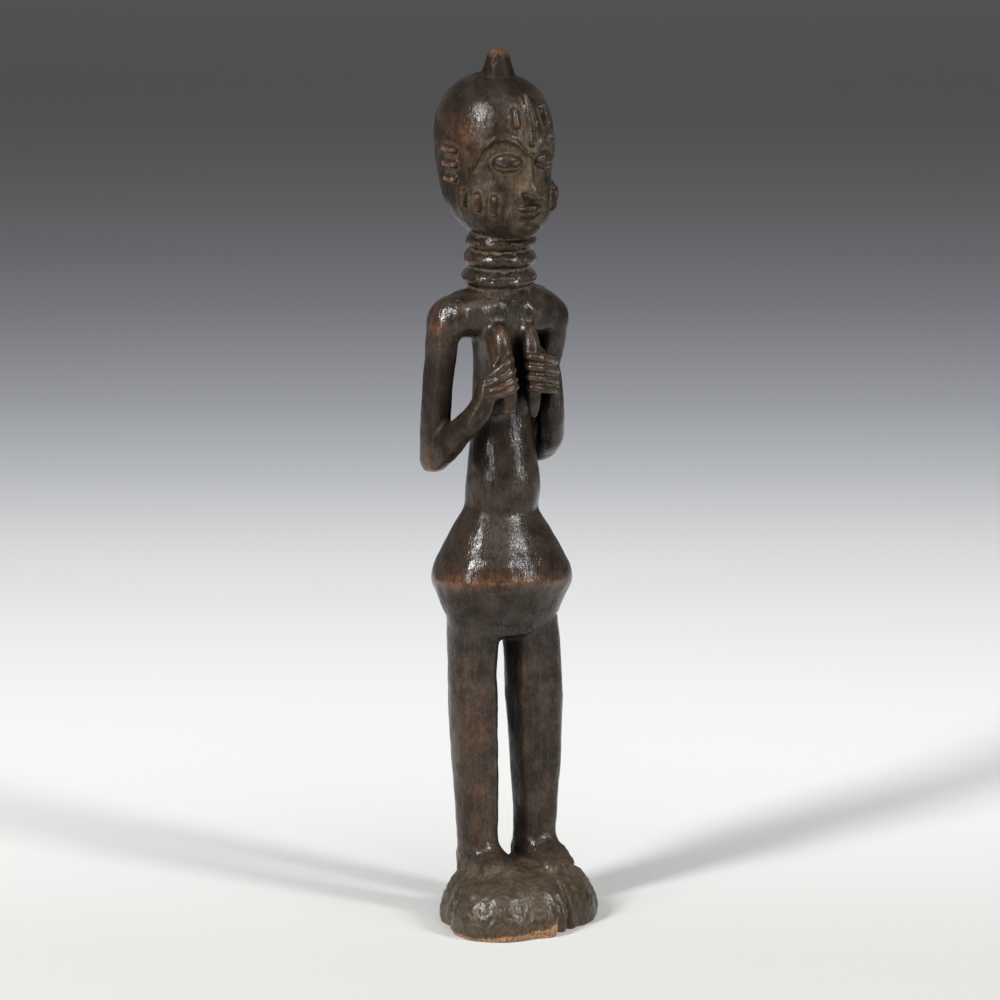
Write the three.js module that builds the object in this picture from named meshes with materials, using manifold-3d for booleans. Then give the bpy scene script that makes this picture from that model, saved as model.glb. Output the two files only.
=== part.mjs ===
// A standing figure carved from one block of hardwood together with its low domed base.
// A woman with a ringed neck, an egg-shaped head with a knob on its crown and raised bars on
// brow, temple and cheek. She holds her long breasts, her arms stand clear of a slim trunk,
// her hips flare like a bell, and two straight legs stand free of each other on the base.
// Millimetres, +Z up. She faces -Y, and +X is her left. The origin ends up under the middle
// of the bounding box, on the flat underside.
import * as THREE from "three";
import { mergeVertices } from "three/addons/utils/BufferGeometryUtils.js";
import Module from "manifold-3d";

// Heights above the underside
const height = {
  baseTop: 21,
  foot: 23,
  ankle: 32,
  crotch: 116,
  hip: 143,
  waist: 171.5,
  belly: 182,
  elbow: 192.5,
  wrist: 214,
  armpit: 239,
  shoulder: 250,
  neckFoot: 258,
  chin: 284,
  crown: 349.4,
  knobTip: 358.8,
};

// The base: a rounded stone-like block, its middle in front of the legs
const base = {
  middleY: -14,
  radius: 31.5,
  sides: 34,
  // height, share of the full radius
  rows: [
    [height.baseTop, 0.4],
    [20, 0.68],
    [17.5, 0.84],
    [13, 0.945],
    [7, 1],
    [2.5, 0.985],
    [0, 0.94],
  ],
  // Lobes around it, by the angle from the front towards her left: where, how wide, how far out
  lobes: [
    { at: -50, spread: 34, rise: 5.5 },
    { at: -125, spread: 30, rise: 1.5 },
    { at: 75, spread: 26, rise: 3 },
    { at: 180, spread: 35, rise: 1 },
  ],
  // A split has taken the rim back just past the front
  split: { at: 3, turn: 5, depth: 6, fade: 36 },
};

// Each leg: height, distance from the middle plane, Y, half width, half depth
const legs = {
  right: [
    [15, 13.6, -3.4, 8, 9],
    [height.ankle, 13.7, -3.2, 8.1, 8.5],
    [47, 14.05, -2.9, 8.7, 9],
    [73, 14.7, -1.9, 9.6, 9.8],
    [108, 14.3, -0.2, 9.9, 10.2],
    [129, 13.4, 0, 10, 11],
  ],
  left: [
    [15, 13.7, -3.4, 8.5, 9.2],
    [height.ankle, 13.7, -3.2, 8.5, 8.8],
    [47, 14.05, -2.9, 9.1, 9.4],
    [73, 14.7, -1.9, 10.4, 10.4],
    [100, 14.3, -0.6, 11.1, 11.2],
    [129, 13.2, 0, 10.6, 11.2],
  ],
};
const foot = { length: 31, heelY: 4.5, halfWidth: 8.4, toes: 5, toeCut: 0.9 };

// The trunk from the thighs to the collar: height, half width, front, back
const trunk = [
  [height.crotch, 9, 5, 5],
  [height.crotch + 4, 19, 9, 9.6],
  [height.crotch + 10, 24.4, 13.2, 15],
  [height.hip - 8, 26.8, 19.4, 22],
  [height.hip - 3, 28.7, 23.6, 25.6],
  [height.hip, 29.4, 24.8, 26.6],
  [height.hip + 3, 29.2, 24.7, 26.3],
  [height.hip + 9, 27, 23.2, 24.2],
  [height.hip + 16, 22.8, 19.8, 20],
  [height.waist - 5, 18.4, 16, 17],
  [height.waist, 15.5, 13.2, 15.4],
  [height.waist + 3.5, 15.4, 14.4, 14.8],
  [height.belly, 15.2, 16, 14],
  [190, 14.3, 15, 13.3],
  [201, 12.9, 12.2, 12.2],
  [214, 12.1, 10.4, 11],
  [229, 11.8, 9.6, 10.8],
  [height.armpit, 12, 9.7, 12.4],
  [height.shoulder, 12.2, 10, 13],
];

// The shoulders lie across the trunk: distance out, height, half height, Y, half depth
const shoulders = [
  [0, 252.4, 12, 2, 12.2],
  [12, 252.2, 11, 2.2, 11.2],
  [20, 250.8, 9, 2.6, 9.6],
  [26, 249, 7.8, 3, 8.2],
  [30, 247, 6.2, 3.2, 6.6],
  [31.4, 245.6, 4.4, 3.2, 5],
];

// Arms as [across, Y, height] from the shoulder down and from the elbow forward and up.
// Her left one hangs a little behind and inside the place that mirrors her right one.
const upperArm = {
  right: [
    [25.2, 3.2, height.shoulder + 1],
    [27, 4.2, 228],
    [28.4, 5.8, 208],
    [28.5, 6.4, height.elbow - 6],
  ],
  left: [
    [26.2, 3, height.shoulder + 1],
    [25, 4.2, 240],
    [23, 6, 226],
    [23.4, 7.6, 208],
    [24, 7.6, height.elbow - 7],
  ],
};
const foreArm = {
  right: [
    [28.2, 9, height.elbow - 2],
    [25, -5.5, 204.5],
    [18, -17, height.wrist + 3.4],
  ],
  left: [
    [23.8, 9.5, height.elbow - 4],
    [20, -4.5, 201],
    [15, -16, height.wrist + 1],
  ],
};
const armHalf = { across: 6.2, deep: 7.1, elbow: 6, wrist: 4.9, squareness: 2.7 };

// Breasts, long and hanging clear of the trunk: top, middle, tip as [across, Y, height]
const breast = {
  right: { line: [[6.2, -8.5, 248], [6.8, -16.6, 236], [7.6, -18.6, 211.5]], half: 3.2, tip: 2.4 },
  left: { line: [[5.6, -8.5, 248], [6.4, -16.4, 236], [7, -18.2, 210.5]], half: 3, tip: 1.5 },
};

// Four fingers fold round each breast from outside: knuckle, front and tip of the lowest one.
// Each next one is a step higher, and its tip stops further out by lean.
const hand = {
  fingers: 4,
  half: 1.95,
  right: {
    knuckle: [17.4, -18, 218],
    front: [11.6, -22.2, 222],
    tip: [5, -21.2, 226.4],
    step: 3.4,
    lean: 1,
  },
  left: {
    knuckle: [16.2, -16.4, 220.4],
    front: [9.6, -21.8, 222.4],
    tip: [2, -20.6, 222.9],
    step: 4.2,
    lean: 0,
  },
};

// The neck: a core with three raised rings of height, radius and half thickness
const neck = {
  y: 2.4,
  core: 12.3,
  sides: 20,
  top: 290,
  rings: [
    { at: 266.8, radius: 15.7, half: 3.3 },
    { at: 274.4, radius: 14.8, half: 2.8 },
    { at: 280.8, radius: 14.1, half: 2.8 },
  ],
};

// The head, turned a little to her left: height, half width, front, back of its own axis
const head = {
  y: 6,
  turn: 4,
  rows: [
    [height.chin, 10.4, 21, 7.5],
    [height.chin + 3, 14.6, 24.4, 11],
    [height.chin + 9, 19, 25.6, 16.5],
    [300, 21, 26, 22],
    [307, 21.8, 26.3, 25.4],
    [315, 22.3, 26.3, 27.2],
    [325, 22.5, 25.8, 27.4],
    [334, 20.8, 23.6, 24.6],
    [341.5, 16.4, 18.4, 18.6],
    [346.6, 10.4, 11.8, 11.6],
    [height.crown, 3.6, 4, 4.2],
  ],
};
// The knob on the crown: height, radius
const knob = {
  y: 3,
  rows: [
    [345, 6.6],
    [348.8, 6.6],
    [350, 6.2],
    [352.6, 5.1],
    [355.2, 4.5],
    [357.4, 3.7],
    [height.knobTip, 1.8],
  ],
};

// Face and brow carving of the simplest kind, by angle from the face's middle and height
const face = {
  eye: { at: 21, height: 316, halfWidth: 6.4, halfHeight: 3.5, proud: 2.4, slit: 0.9 },
  brow: { angles: [4.5, 13, 25, 36, 44], heights: [318, 323.6, 325.2, 323, 318.6], half: 1.5 },
  nose: { top: 320, bottom: 302, halfWidth: 4.3, proud: 6.2 },
  mouth: { height: 296.5, halfWidth: 5.2, half: 1.7, gap: 2.8 },
};
// Raised bars: angle from the face's middle, height, half length, half width, upright or level
const bars = [
  { at: [0], height: 332, halfLength: 10, halfWidth: 2.3, upright: true },
  { at: [-17, 19], height: 334, halfLength: 4.4, halfWidth: 2.1, upright: true },
  { at: [-37.5, 37.5], height: 298, halfLength: 5.2, halfWidth: 2, upright: true },
  { at: [-54, 54], height: 299, halfLength: 5.1, halfWidth: 2, upright: true },
  { at: [-70, 70], height: 300.4, halfLength: 4.8, halfWidth: 1.9, upright: true },
  { at: [-86, 86], height: 308, halfLength: 4.6, halfWidth: 1.6, upright: false },
  { at: [-86, 86], height: 314, halfLength: 5, halfWidth: 1.6, upright: false },
  { at: [-86, 86], height: 320, halfLength: 5.2, halfWidth: 1.7, upright: false },
];
const barProud = 1.7;

const degrees = THREE.MathUtils.degToRad;
const point = (x, y, z) => new THREE.Vector3(x, y, z);

// Reads rows of [place, value, value, ...] at any place along a smooth curve through the rows.
function readRows(rows, place) {
  const last = rows.length - 1;
  let i = 0;
  while (i < last - 1 && place > rows[i + 1][0]) i += 1;
  const span = rows[i + 1][0] - rows[i][0];
  const t = THREE.MathUtils.clamp((place - rows[i][0]) / span, 0, 1);
  const slope = (k, n) => {
    const a = rows[Math.max(k - 1, 0)];
    const b = rows[Math.min(k + 1, last)];
    return (b[n] - a[n]) / (b[0] - a[0]);
  };
  return rows[i].slice(1).map((from, n) => {
    const to = rows[i + 1][n + 1];
    const lean = (t - 2 * t ** 2 + t ** 3) * slope(i, n + 1) + (t ** 3 - t ** 2) * slope(i + 1, n + 1);
    return from + (to - from) * (3 * t ** 2 - 2 * t ** 3) + lean * span;
  });
}

// A closed skin of rings. A sphere gives the faces, and place() says where each corner goes:
// the ring's number from the first pole, and the angle round it.
function ringBody(sides, rings, place) {
  const geometry = new THREE.SphereGeometry(1, sides, rings);
  const { position, uv } = geometry.attributes;
  for (let i = 0; i < position.count; i += 1) {
    const ring = Math.round((1 - uv.getY(i)) * rings);
    const p = place(ring, uv.getX(i) * Math.PI * 2);
    position.setXYZ(i, p.x, p.y, p.z);
  }
  return geometry;
}

// A corner of a rounded rectangle's outline. Squareness 2 is an ellipse, and more is squarer.
function corner(angle, halfX, halfY, squareness) {
  const bend = (value) => Math.sign(value) * Math.abs(value) ** (2 / squareness);
  return [halfX * bend(Math.cos(angle)), halfY * bend(Math.sin(angle))];
}

// An upright body from rows of height, half width, front and back, closed flat at both ends.
// It has a ring at each row and the same number of further rings between any two rows.
function uprightBody(rows, { sides, between = 0, squareness = 2.15 }) {
  const steps = (rows.length - 1) * (between + 1);
  const rings = steps + 2;
  return ringBody(sides, rings, (ring, angle) => {
    const open = ring === 0 || ring === rings ? 0 : 1;
    const row = THREE.MathUtils.clamp(rings - 1 - ring, 0, steps) / (between + 1);
    const lower = rows[Math.floor(row)][0];
    const z = lower + (row % 1) * (rows[Math.ceil(row)][0] - lower);
    const [halfWidth, front, back] = readRows(rows, z);
    const deep = Math.sin(angle) < 0 ? front : back;
    const [dx, dy] = corner(angle, halfWidth * open, deep * open, squareness);
    return point(dx, dy, z);
  });
}

// A rounded rod along a smooth line. halves reads, by the share of its length, the half
// thickness along `across` and the half thickness at right angles to it.
function limb(line, halves, { sides, rings, across = point(1, 0, 0), squareness = 2, cap = 0.12 }) {
  const curve = new THREE.CatmullRomCurve3(line.map((p) => point(...p)));
  const capRings = 2;
  return ringBody(sides, rings, (ring, angle) => {
    const fromEnd = Math.min(ring, rings - ring);
    const turn = (Math.min(fromEnd / capRings, 1) * Math.PI) / 2;
    const depth = cap * (1 - Math.cos(turn));
    const middle = cap + ((ring - capRings) / (rings - 2 * capRings)) * (1 - 2 * cap);
    const nearEnd = ring < rings / 2 ? depth : 1 - depth;
    const t = fromEnd < capRings ? nearEnd : middle;
    const along = curve.getTangentAt(t);
    const side = across.clone().addScaledVector(along, -across.dot(along)).normalize();
    const front = side.clone().cross(along);
    const [halfSide, halfFront] = readRows(halves, t);
    const [a, b] = corner(angle, halfSide * Math.sin(turn), halfFront * Math.sin(turn), squareness);
    return curve.getPointAt(t).addScaledVector(side, a).addScaledVector(front, b);
  });
}

// Swaps her left and right.
const mirrored = (line, side) => line.map(([across, y, z]) => [across * side, y, z]);

function makeBase() {
  const { rows, lobes, split, middleY, sides } = base;
  const reach = (turn) => {
    const away = (at) => ((turn - at + 540) % 360) - 180;
    let out = base.radius;
    for (const lobe of lobes) out += lobe.rise * Math.exp(-((away(lobe.at) / lobe.spread) ** 2));
    const past = away(split.at);
    if (past > 0) {
      out -= split.depth * Math.min(past / split.turn, 1) * Math.exp(-((past / split.fade) ** 2));
    }
    return out;
  };
  return ringBody(sides, rows.length + 1, (ring, angle) => {
    const [z, share] = rows[THREE.MathUtils.clamp(ring - 1, 0, rows.length - 1)];
    const open = ring === 0 || ring > rows.length ? 0 : share;
    const out = reach(THREE.MathUtils.radToDeg(angle) + 90) * open;
    return point(Math.cos(angle) * out, middleY + Math.sin(angle) * out, z);
  });
}

function makeLeg(rows, side) {
  const [low, high] = [rows[0][0], rows[rows.length - 1][0]];
  const rings = 9;
  return ringBody(16, rings, (ring, angle) => {
    const z = THREE.MathUtils.clamp(high - ((ring - 1) / (rings - 2)) * (high - low), low, high);
    const open = ring === 0 || ring === rings ? 0 : 1;
    const [out, y, halfWidth, halfDepth] = readRows(rows, z);
    const [dx, dy] = corner(angle, halfWidth * open, halfDepth * open, 2.5);
    return point(out * side + dx, y + dy, z);
  });
}

// A foot is a wedge from heel to toes, with shallow cuts between the toes.
function makeFoot(side, x) {
  const toe = foot.heelY - foot.length;
  const line = [
    [x * side, foot.heelY, height.foot],
    [x * side, -8, height.foot - 0.5],
    [(x + 0.6) * side, -17, height.foot - 2],
    [(x + 1.2) * side, toe, height.foot - 3.2],
  ];
  const halves = [
    [0, foot.halfWidth - 0.8, 8],
    [0.38, foot.halfWidth, 8.4],
    [0.7, foot.halfWidth + 0.3, 5.4],
    [1, foot.halfWidth - 0.6, 3.4],
  ];
  return limb(line, halves, { sides: 12, rings: 8, squareness: 2.5, cap: 0.1 });
}

function makeToeCuts(side, x) {
  const toe = foot.heelY - foot.length;
  const width = (2 * foot.halfWidth - 2) / foot.toes;
  const cuts = [];
  for (let k = 1; k < foot.toes; k += 1) {
    const across = (x + 1.2) * side + (k - foot.toes / 2) * width;
    const line = [
      [across, toe - 1.5, height.foot - 1],
      [across, toe + 6.5, height.foot + 2.2],
    ];
    const halves = [[0, foot.toeCut * 0.6, 2.4], [1, foot.toeCut * 0.3, 1]];
    cuts.push(limb(line, halves, { sides: 5, rings: 5 }));
  }
  return cuts;
}

function makeShoulders() {
  const reach = shoulders[shoulders.length - 1][0];
  const rings = 12;
  return ringBody(12, rings, (ring, angle) => {
    const share = THREE.MathUtils.clamp((ring - 1) / (rings - 2), 0, 1) * 2 - 1;
    const [z, halfHeight, y, halfDepth] = readRows(shoulders, Math.abs(share) * reach);
    const open = ring === 0 || ring === rings ? 0 : 1;
    const [dy, dz] = corner(angle, halfDepth * open, halfHeight * open, 2.4);
    const end = ring === 0 || ring === rings ? 1 : 0;
    return point(share * reach + Math.sign(share) * end, y + dy, z - dz);
  });
}

function makeArm(name, side) {
  const { across, deep, elbow, wrist, squareness } = armHalf;
  const upper = limb(
    mirrored(upperArm[name], side),
    [[0, across, deep], [0.5, across, deep], [1, across - 0.1, elbow + 0.4]],
    { sides: 12, rings: 8, squareness, cap: 0.09 },
  );
  const lower = limb(
    mirrored(foreArm[name], side),
    [[0, across, elbow], [0.5, 5.3, 5.3], [1, wrist, wrist]],
    { sides: 12, rings: 7, squareness: 2.2, cap: 0.14 },
  );
  return [upper, lower];
}

function makeHand(name, side) {
  const { knuckle, front, tip, step, lean } = hand[name];
  const pieces = [];
  const folded = [tip[0] - 0.7, tip[1] + 3, tip[2] + 0.3];
  for (let k = 0; k < hand.fingers; k += 1) {
    const line = [knuckle, front, tip, folded].map(([x, y, z], n) => [
      (x + (n * lean * k) / 3) * side,
      y,
      z + k * step,
    ]);
    const half = hand.half - (k === 0 || k === hand.fingers - 1 ? 0.15 : 0);
    const halves = [[0, half, half], [0.6, half, half], [1, half - 0.35, half - 0.35]];
    pieces.push(limb(line, halves, { sides: 6, rings: 6, across: point(0, 0, 1), cap: 0.1 }));
  }
  const tall = (hand.fingers - 1) * step;
  const wrist = foreArm[name][foreArm[name].length - 1];
  const [x, y, z] = knuckle;
  const palm = [wrist, [x + 0.6, y + 0.8, z + tall * 0.4], [x - 0.6, y - 0.2, z + tall * 0.95]];
  const palmHalves = [[0, 4.2, 4.6], [0.5, 3.4, 4.8], [1, 2.6, 3]];
  pieces.push(limb(mirrored(palm, side), palmHalves, { sides: 9, rings: 7 }));
  const thumb = [
    [x - 1.5, y + 3.4, z + tall * 0.5],
    [x - 5, y + 3.6, z + tall],
    [x - 8, y + 1.6, z + tall + 4],
  ];
  pieces.push(limb(mirrored(thumb, side), [[0, 2.2, 2.2], [1, 1.7, 1.7]], { sides: 6, rings: 6 }));
  return pieces;
}

function makeBreast(name, side) {
  const { line, half, tip } = breast[name];
  const halves = [[0, half, half], [0.4, half, half], [0.75, half - 0.1, half - 0.1], [1, tip, tip]];
  return limb(mirrored(line, side), halves, { sides: 10, rings: 8, cap: 0.1 });
}

// The outline of the core and its rings, turned about the neck's own axis
function makeNeck() {
  const outline = [new THREE.Vector2(0, height.neckFoot), new THREE.Vector2(neck.core, height.neckFoot)];
  const steps = 4;
  for (const ring of neck.rings) {
    for (let k = 0; k <= steps; k += 1) {
      const turn = (k / steps) * Math.PI;
      const out = neck.core + (ring.radius - neck.core) * Math.sin(turn) ** 0.7;
      outline.push(new THREE.Vector2(out, ring.at - ring.half * Math.cos(turn)));
    }
  }
  outline.push(new THREE.Vector2(neck.core, neck.top), new THREE.Vector2(0, neck.top));
  return new THREE.LatheGeometry(outline, neck.sides).rotateX(Math.PI / 2).translate(0, neck.y, 0);
}

function makeKnob() {
  const { rows, y } = knob;
  const outline = rows.map(([z, radius]) => new THREE.Vector2(radius, z));
  outline.unshift(new THREE.Vector2(0, rows[0][0]));
  outline.push(new THREE.Vector2(0, height.knobTip));
  return new THREE.LatheGeometry(outline, 12).rotateX(Math.PI / 2).translate(0, y, 0);
}

// Where the head's skin is, before it is turned: the point and the way out of it, by the angle
// from the face's middle towards her left.
function onHead(turn, z) {
  const at = (t, level) => {
    const angle = degrees(t - 90);
    const [halfWidth, front, back] = readRows(head.rows, level);
    const [dx, dy] = corner(angle, halfWidth, Math.sin(angle) < 0 ? front : back, 2.15);
    return point(dx, dy, level);
  };
  const here = at(turn, z);
  const round = at(turn + 2, z).sub(at(turn - 2, z)).normalize();
  const rise = at(turn, z + 1).sub(at(turn, z - 1)).normalize();
  return { here, round, rise, out: round.clone().cross(rise).normalize() };
}

// A small rounded bar lying on the head: half length along the skin, half width across it.
function headBar(turn, z, halfLength, halfWidth, upright, proud = barProud) {
  const { here, out, round, rise } = onHead(turn, z);
  const along = upright ? rise : round;
  const across = upright ? round : rise;
  const rings = 4;
  return ringBody(6, rings, (ring, angle) => {
    const polar = (ring / rings) * Math.PI;
    const girth = Math.sin(polar) ** 0.6;
    return here
      .clone()
      .addScaledVector(along, -Math.cos(polar) * halfLength)
      .addScaledVector(out, Math.sin(angle) * girth * proud)
      .addScaledVector(across, (upright ? 1 : -1) * Math.cos(angle) * girth * halfWidth);
  });
}

function makeFace() {
  const { eye, brow, nose, mouth } = face;
  const joined = [];
  const cut = [];
  for (const side of [-1, 1]) {
    joined.push(headBar(eye.at * side, eye.height, eye.halfWidth, eye.halfHeight, false, eye.proud));
    const slit = onHead(eye.at * side, eye.height - 0.6);
    const reach = [-1, 0, 1].map((k) =>
      slit.here
        .clone()
        .addScaledVector(slit.round, k * (eye.halfWidth - 1.4))
        .addScaledVector(slit.out, eye.proud + 0.4 - 1.3 * Math.abs(k))
        .toArray(),
    );
    const slitHalves = [[0, 0.5, 0.5], [0.5, eye.slit, eye.slit], [1, 0.5, 0.5]];
    cut.push(limb(reach, slitHalves, { sides: 5, rings: 6 }));
    const arch = brow.angles.map((angle, k) => {
      const { here, out } = onHead(angle * side, brow.heights[k]);
      return here.addScaledVector(out, -0.3).toArray();
    });
    const halves = [[0, brow.half - 0.4, brow.half - 0.4], [0.5, brow.half, brow.half], [1, 0.8, 0.8]];
    joined.push(limb(arch, halves, { sides: 6, rings: 7, across: point(0, 1, 0) }));
  }
  const bridge = onHead(0, nose.top).here;
  const tip = onHead(0, nose.bottom).here;
  const line = [
    [0, bridge.y + 0.6, nose.top],
    [0, (bridge.y + tip.y) / 2 - nose.proud * 0.3, (nose.top + nose.bottom) / 2],
    [0, tip.y - nose.proud * 0.5, nose.bottom + 1],
  ];
  const { halfWidth, proud } = nose;
  const halves = [[0, 1.7, 1.4], [0.5, halfWidth * 0.65, 2.4], [1, halfWidth, proud * 0.5]];
  joined.push(limb(line, halves, { sides: 8, rings: 7, cap: 0.14 }));
  for (const lip of [-1, 1]) {
    const z = mouth.height + (lip * mouth.gap) / 2;
    joined.push(headBar(0, z, mouth.halfWidth, mouth.half, false, 2.2));
  }
  for (const bar of bars) {
    for (const at of bar.at) {
      joined.push(headBar(at, bar.height, bar.halfLength, bar.halfWidth, bar.upright));
    }
  }
  return { joined, cut };
}

const wasm = await Module();
wasm.setup();

// A geometry as a closed solid, its shared corners merged
function solid(geometry) {
  const skin = geometry.clone();
  skin.deleteAttribute("normal");
  skin.deleteAttribute("uv");
  const merged = mergeVertices(skin, 1e-4);
  return new wasm.Manifold(
    new wasm.Mesh({
      numProp: 3,
      vertProperties: merged.attributes.position.array,
      triVerts: new Uint32Array(merged.index.array),
    }),
  );
}

const join = (solids) => solids.reduce((whole, piece) => whole.add(piece));

function makeHead() {
  const skull = solid(uprightBody(head.rows, { sides: 24, between: 1 }));
  const { joined, cut } = makeFace();
  let whole = join([skull, ...joined.map(solid)]);
  for (const slit of cut) whole = whole.subtract(solid(slit));
  return whole.rotate([0, 0, head.turn]).translate([0, head.y, 0]);
}

function makeFigure() {
  const pieces = [
    makeBase(),
    uprightBody(trunk, { sides: 24 }),
    makeShoulders(),
    makeNeck(),
    makeKnob(),
  ];
  const cuts = [];
  for (const [name, side] of [["right", -1], ["left", 1]]) {
    const ankle = legs[name][0][1];
    pieces.push(makeLeg(legs[name], side), makeFoot(side, ankle), makeBreast(name, side));
    pieces.push(...makeArm(name, side), ...makeHand(name, side));
    cuts.push(...makeToeCuts(side, ankle));
  }
  let figure = join([makeHead(), ...pieces.map(solid)]);
  for (const cut of cuts) figure = figure.subtract(solid(cut));
  return figure;
}

// A solid as a three.js geometry, moved so that the origin is under the middle of its box
function centred(figure) {
  const { vertProperties, triVerts, numProp } = figure.getMesh();
  const corners = new Float32Array((vertProperties.length / numProp) * 3);
  for (let i = 0; i < corners.length / 3; i += 1) {
    for (let k = 0; k < 3; k += 1) corners[i * 3 + k] = vertProperties[i * numProp + k];
  }
  const geometry = new THREE.BufferGeometry();
  geometry.setAttribute("position", new THREE.BufferAttribute(corners, 3));
  geometry.setIndex(new THREE.BufferAttribute(triVerts, 1));
  geometry.computeBoundingBox();
  const middle = geometry.boundingBox.getCenter(point(0, 0, 0));
  geometry.translate(-middle.x, -middle.y, 0);
  geometry.computeVertexNormals();
  return geometry;
}

const darkWood = new THREE.MeshStandardMaterial({ color: 0x3d2c22, roughness: 0.42, metalness: 0 });
const figure = new THREE.Mesh(centred(makeFigure()), darkWood);
figure.name = "figure";

const group = new THREE.Group();
group.add(figure);

export default group;
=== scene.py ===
import math

import bmesh
import bpy
import numpy as np
from mathutils import Matrix, Vector
from mathutils.bvhtree import BVHTree


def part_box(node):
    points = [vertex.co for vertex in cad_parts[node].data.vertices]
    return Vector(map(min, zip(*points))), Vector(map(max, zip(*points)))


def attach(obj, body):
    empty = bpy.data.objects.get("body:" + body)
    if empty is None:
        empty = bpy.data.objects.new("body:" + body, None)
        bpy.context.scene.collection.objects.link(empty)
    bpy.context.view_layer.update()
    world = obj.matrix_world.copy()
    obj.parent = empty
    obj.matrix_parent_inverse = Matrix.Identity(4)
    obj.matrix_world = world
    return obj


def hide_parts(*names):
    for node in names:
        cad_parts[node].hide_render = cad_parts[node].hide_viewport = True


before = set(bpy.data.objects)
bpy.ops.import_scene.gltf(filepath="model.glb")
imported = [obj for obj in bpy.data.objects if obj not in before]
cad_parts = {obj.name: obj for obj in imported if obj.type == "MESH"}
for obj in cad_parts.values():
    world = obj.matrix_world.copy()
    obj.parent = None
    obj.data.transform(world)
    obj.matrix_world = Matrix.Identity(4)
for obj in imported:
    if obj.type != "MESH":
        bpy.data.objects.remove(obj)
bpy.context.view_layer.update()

# All shaping is in millimetres about the legs' own axis. standAt moves the result over the base.
standAt = (0.437, 6.398, 0.0)
rightSide, leftSide = -1, 1


view = {
    "fromRight": 30.0,  # degrees round from straight ahead, towards her right
    "down": 12.0,
    "distance": 2.4,
    "aimHeight": 0.18,
    "lens": 211.76,
    "shift": (-0.002, -0.0149),
}

studio = {
    "floorSize": 9.0,
    "worldGrey": (0.95, 0.97, 1.0),
    "worldStrength": 0.2,
    # floor colour by distance behind the figure, in metres: painted light and shade, darker in front of the figure and
    # far behind it, brightest about half a metre behind
    "floorFade": [
        (-0.4, (0.49, 0.49, 0.47)), (-0.05, (0.53, 0.53, 0.51)), (0.17, (0.79, 0.79, 0.775)),
        (0.4, (0.92, 0.92, 0.91)), (0.68, (0.9, 0.905, 0.91)), (0.87, (0.7, 0.715, 0.735)),
        (1.09, (0.52, 0.535, 0.575)), (1.43, (0.325, 0.325, 0.36)), (1.83, (0.255, 0.25, 0.258)),
        (2.33, (0.192, 0.19, 0.188)), (3, (0.3, 0.295, 0.29)),
    ],
    # name: degrees round from the camera (+ is to its right), height, distance, width, tall, watts
    "lamps": {
        "leftWindow": (-45, 1.08, 1.2, 0.2, 0.56, 22),
        "leftLow": (-44, 0.42, 1.45, 0.16, 0.42, 5.5),
        "rightWindow": (55, 0.95, 1.25, 0.19, 0.5, 12),
        "rightLow": (55, 0.36, 1.45, 0.19, 0.4, 3.8),
        "overhead": (25, 2.1, 1.3, 2, 2, 22),
    },
}


def clearSelection():
    if bpy.context.object and bpy.context.object.mode != "OBJECT":
        bpy.ops.object.mode_set(mode="OBJECT")
    for other in list(bpy.context.selected_objects):
        other.select_set(False)


def pick(form):
    clearSelection()
    form.select_set(True)
    bpy.context.view_layer.objects.active = form


def addObject(name, data):
    added = bpy.data.objects.new(name, data)
    bpy.context.scene.collection.objects.link(added)
    return added


def cameraSide(degrees):
    # level direction from the figure to a place that many degrees to the right of the camera
    turn = math.radians(view["fromRight"] - degrees)
    return Vector((-math.sin(turn), -math.cos(turn), 0))


def setCamera():
    tilt = math.radians(view["down"])
    away = cameraSide(0) * math.cos(tilt) + Vector((0, 0, math.sin(tilt)))
    aim = Vector((standAt[0] / 1000, standAt[1] / 1000, view["aimHeight"]))
    lensData = bpy.data.cameras.new("photoView")
    lensData.lens = view["lens"]
    lensData.shift_x, lensData.shift_y = view["shift"]
    cameraObject = addObject("photoView", lensData)
    cameraObject.location = aim + away * view["distance"]
    cameraObject.rotation_euler = (-away).to_track_quat("-Z", "Y").to_euler()
    bpy.context.scene.camera = cameraObject
    bpy.context.scene.view_settings.view_transform = "Standard"


def setLamps():
    for name, (around, height, distance, width, tall, watts) in studio["lamps"].items():
        lamp = bpy.data.lights.new(name, "AREA")
        lamp.shape = "RECTANGLE"
        lamp.size, lamp.size_y = width, tall
        lamp.energy = watts
        lampObject = addObject(name, lamp)
        lampObject.location = cameraSide(around) * distance + Vector((0, 0, height))
        facing = Vector((0, 0, 0.16)) - lampObject.location
        lampObject.rotation_euler = facing.to_track_quat("-Z", "Y").to_euler()
    world = bpy.data.worlds.new("softRoom")
    world.use_nodes = True
    backdrop = world.node_tree.nodes["Background"]
    backdrop.inputs["Color"].default_value = (*studio["worldGrey"], 1)
    backdrop.inputs["Strength"].default_value = studio["worldStrength"]
    bpy.context.scene.world = world


def addNode(tree, kind, place, **settings):
    node = tree.nodes.new(kind)
    node.location = place
    for key, value in settings.items():
        setattr(node, key, value)
    return node


def rampStops(node, stops):
    ramp = node.color_ramp
    while len(ramp.elements) > 1:
        ramp.elements.remove(ramp.elements[-1])
    ramp.elements[0].position = stops[0][0]
    ramp.elements[0].color = (*stops[0][1], 1)
    for position, colour in stops[1:]:
        ramp.elements.new(position).color = (*colour, 1)


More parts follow.
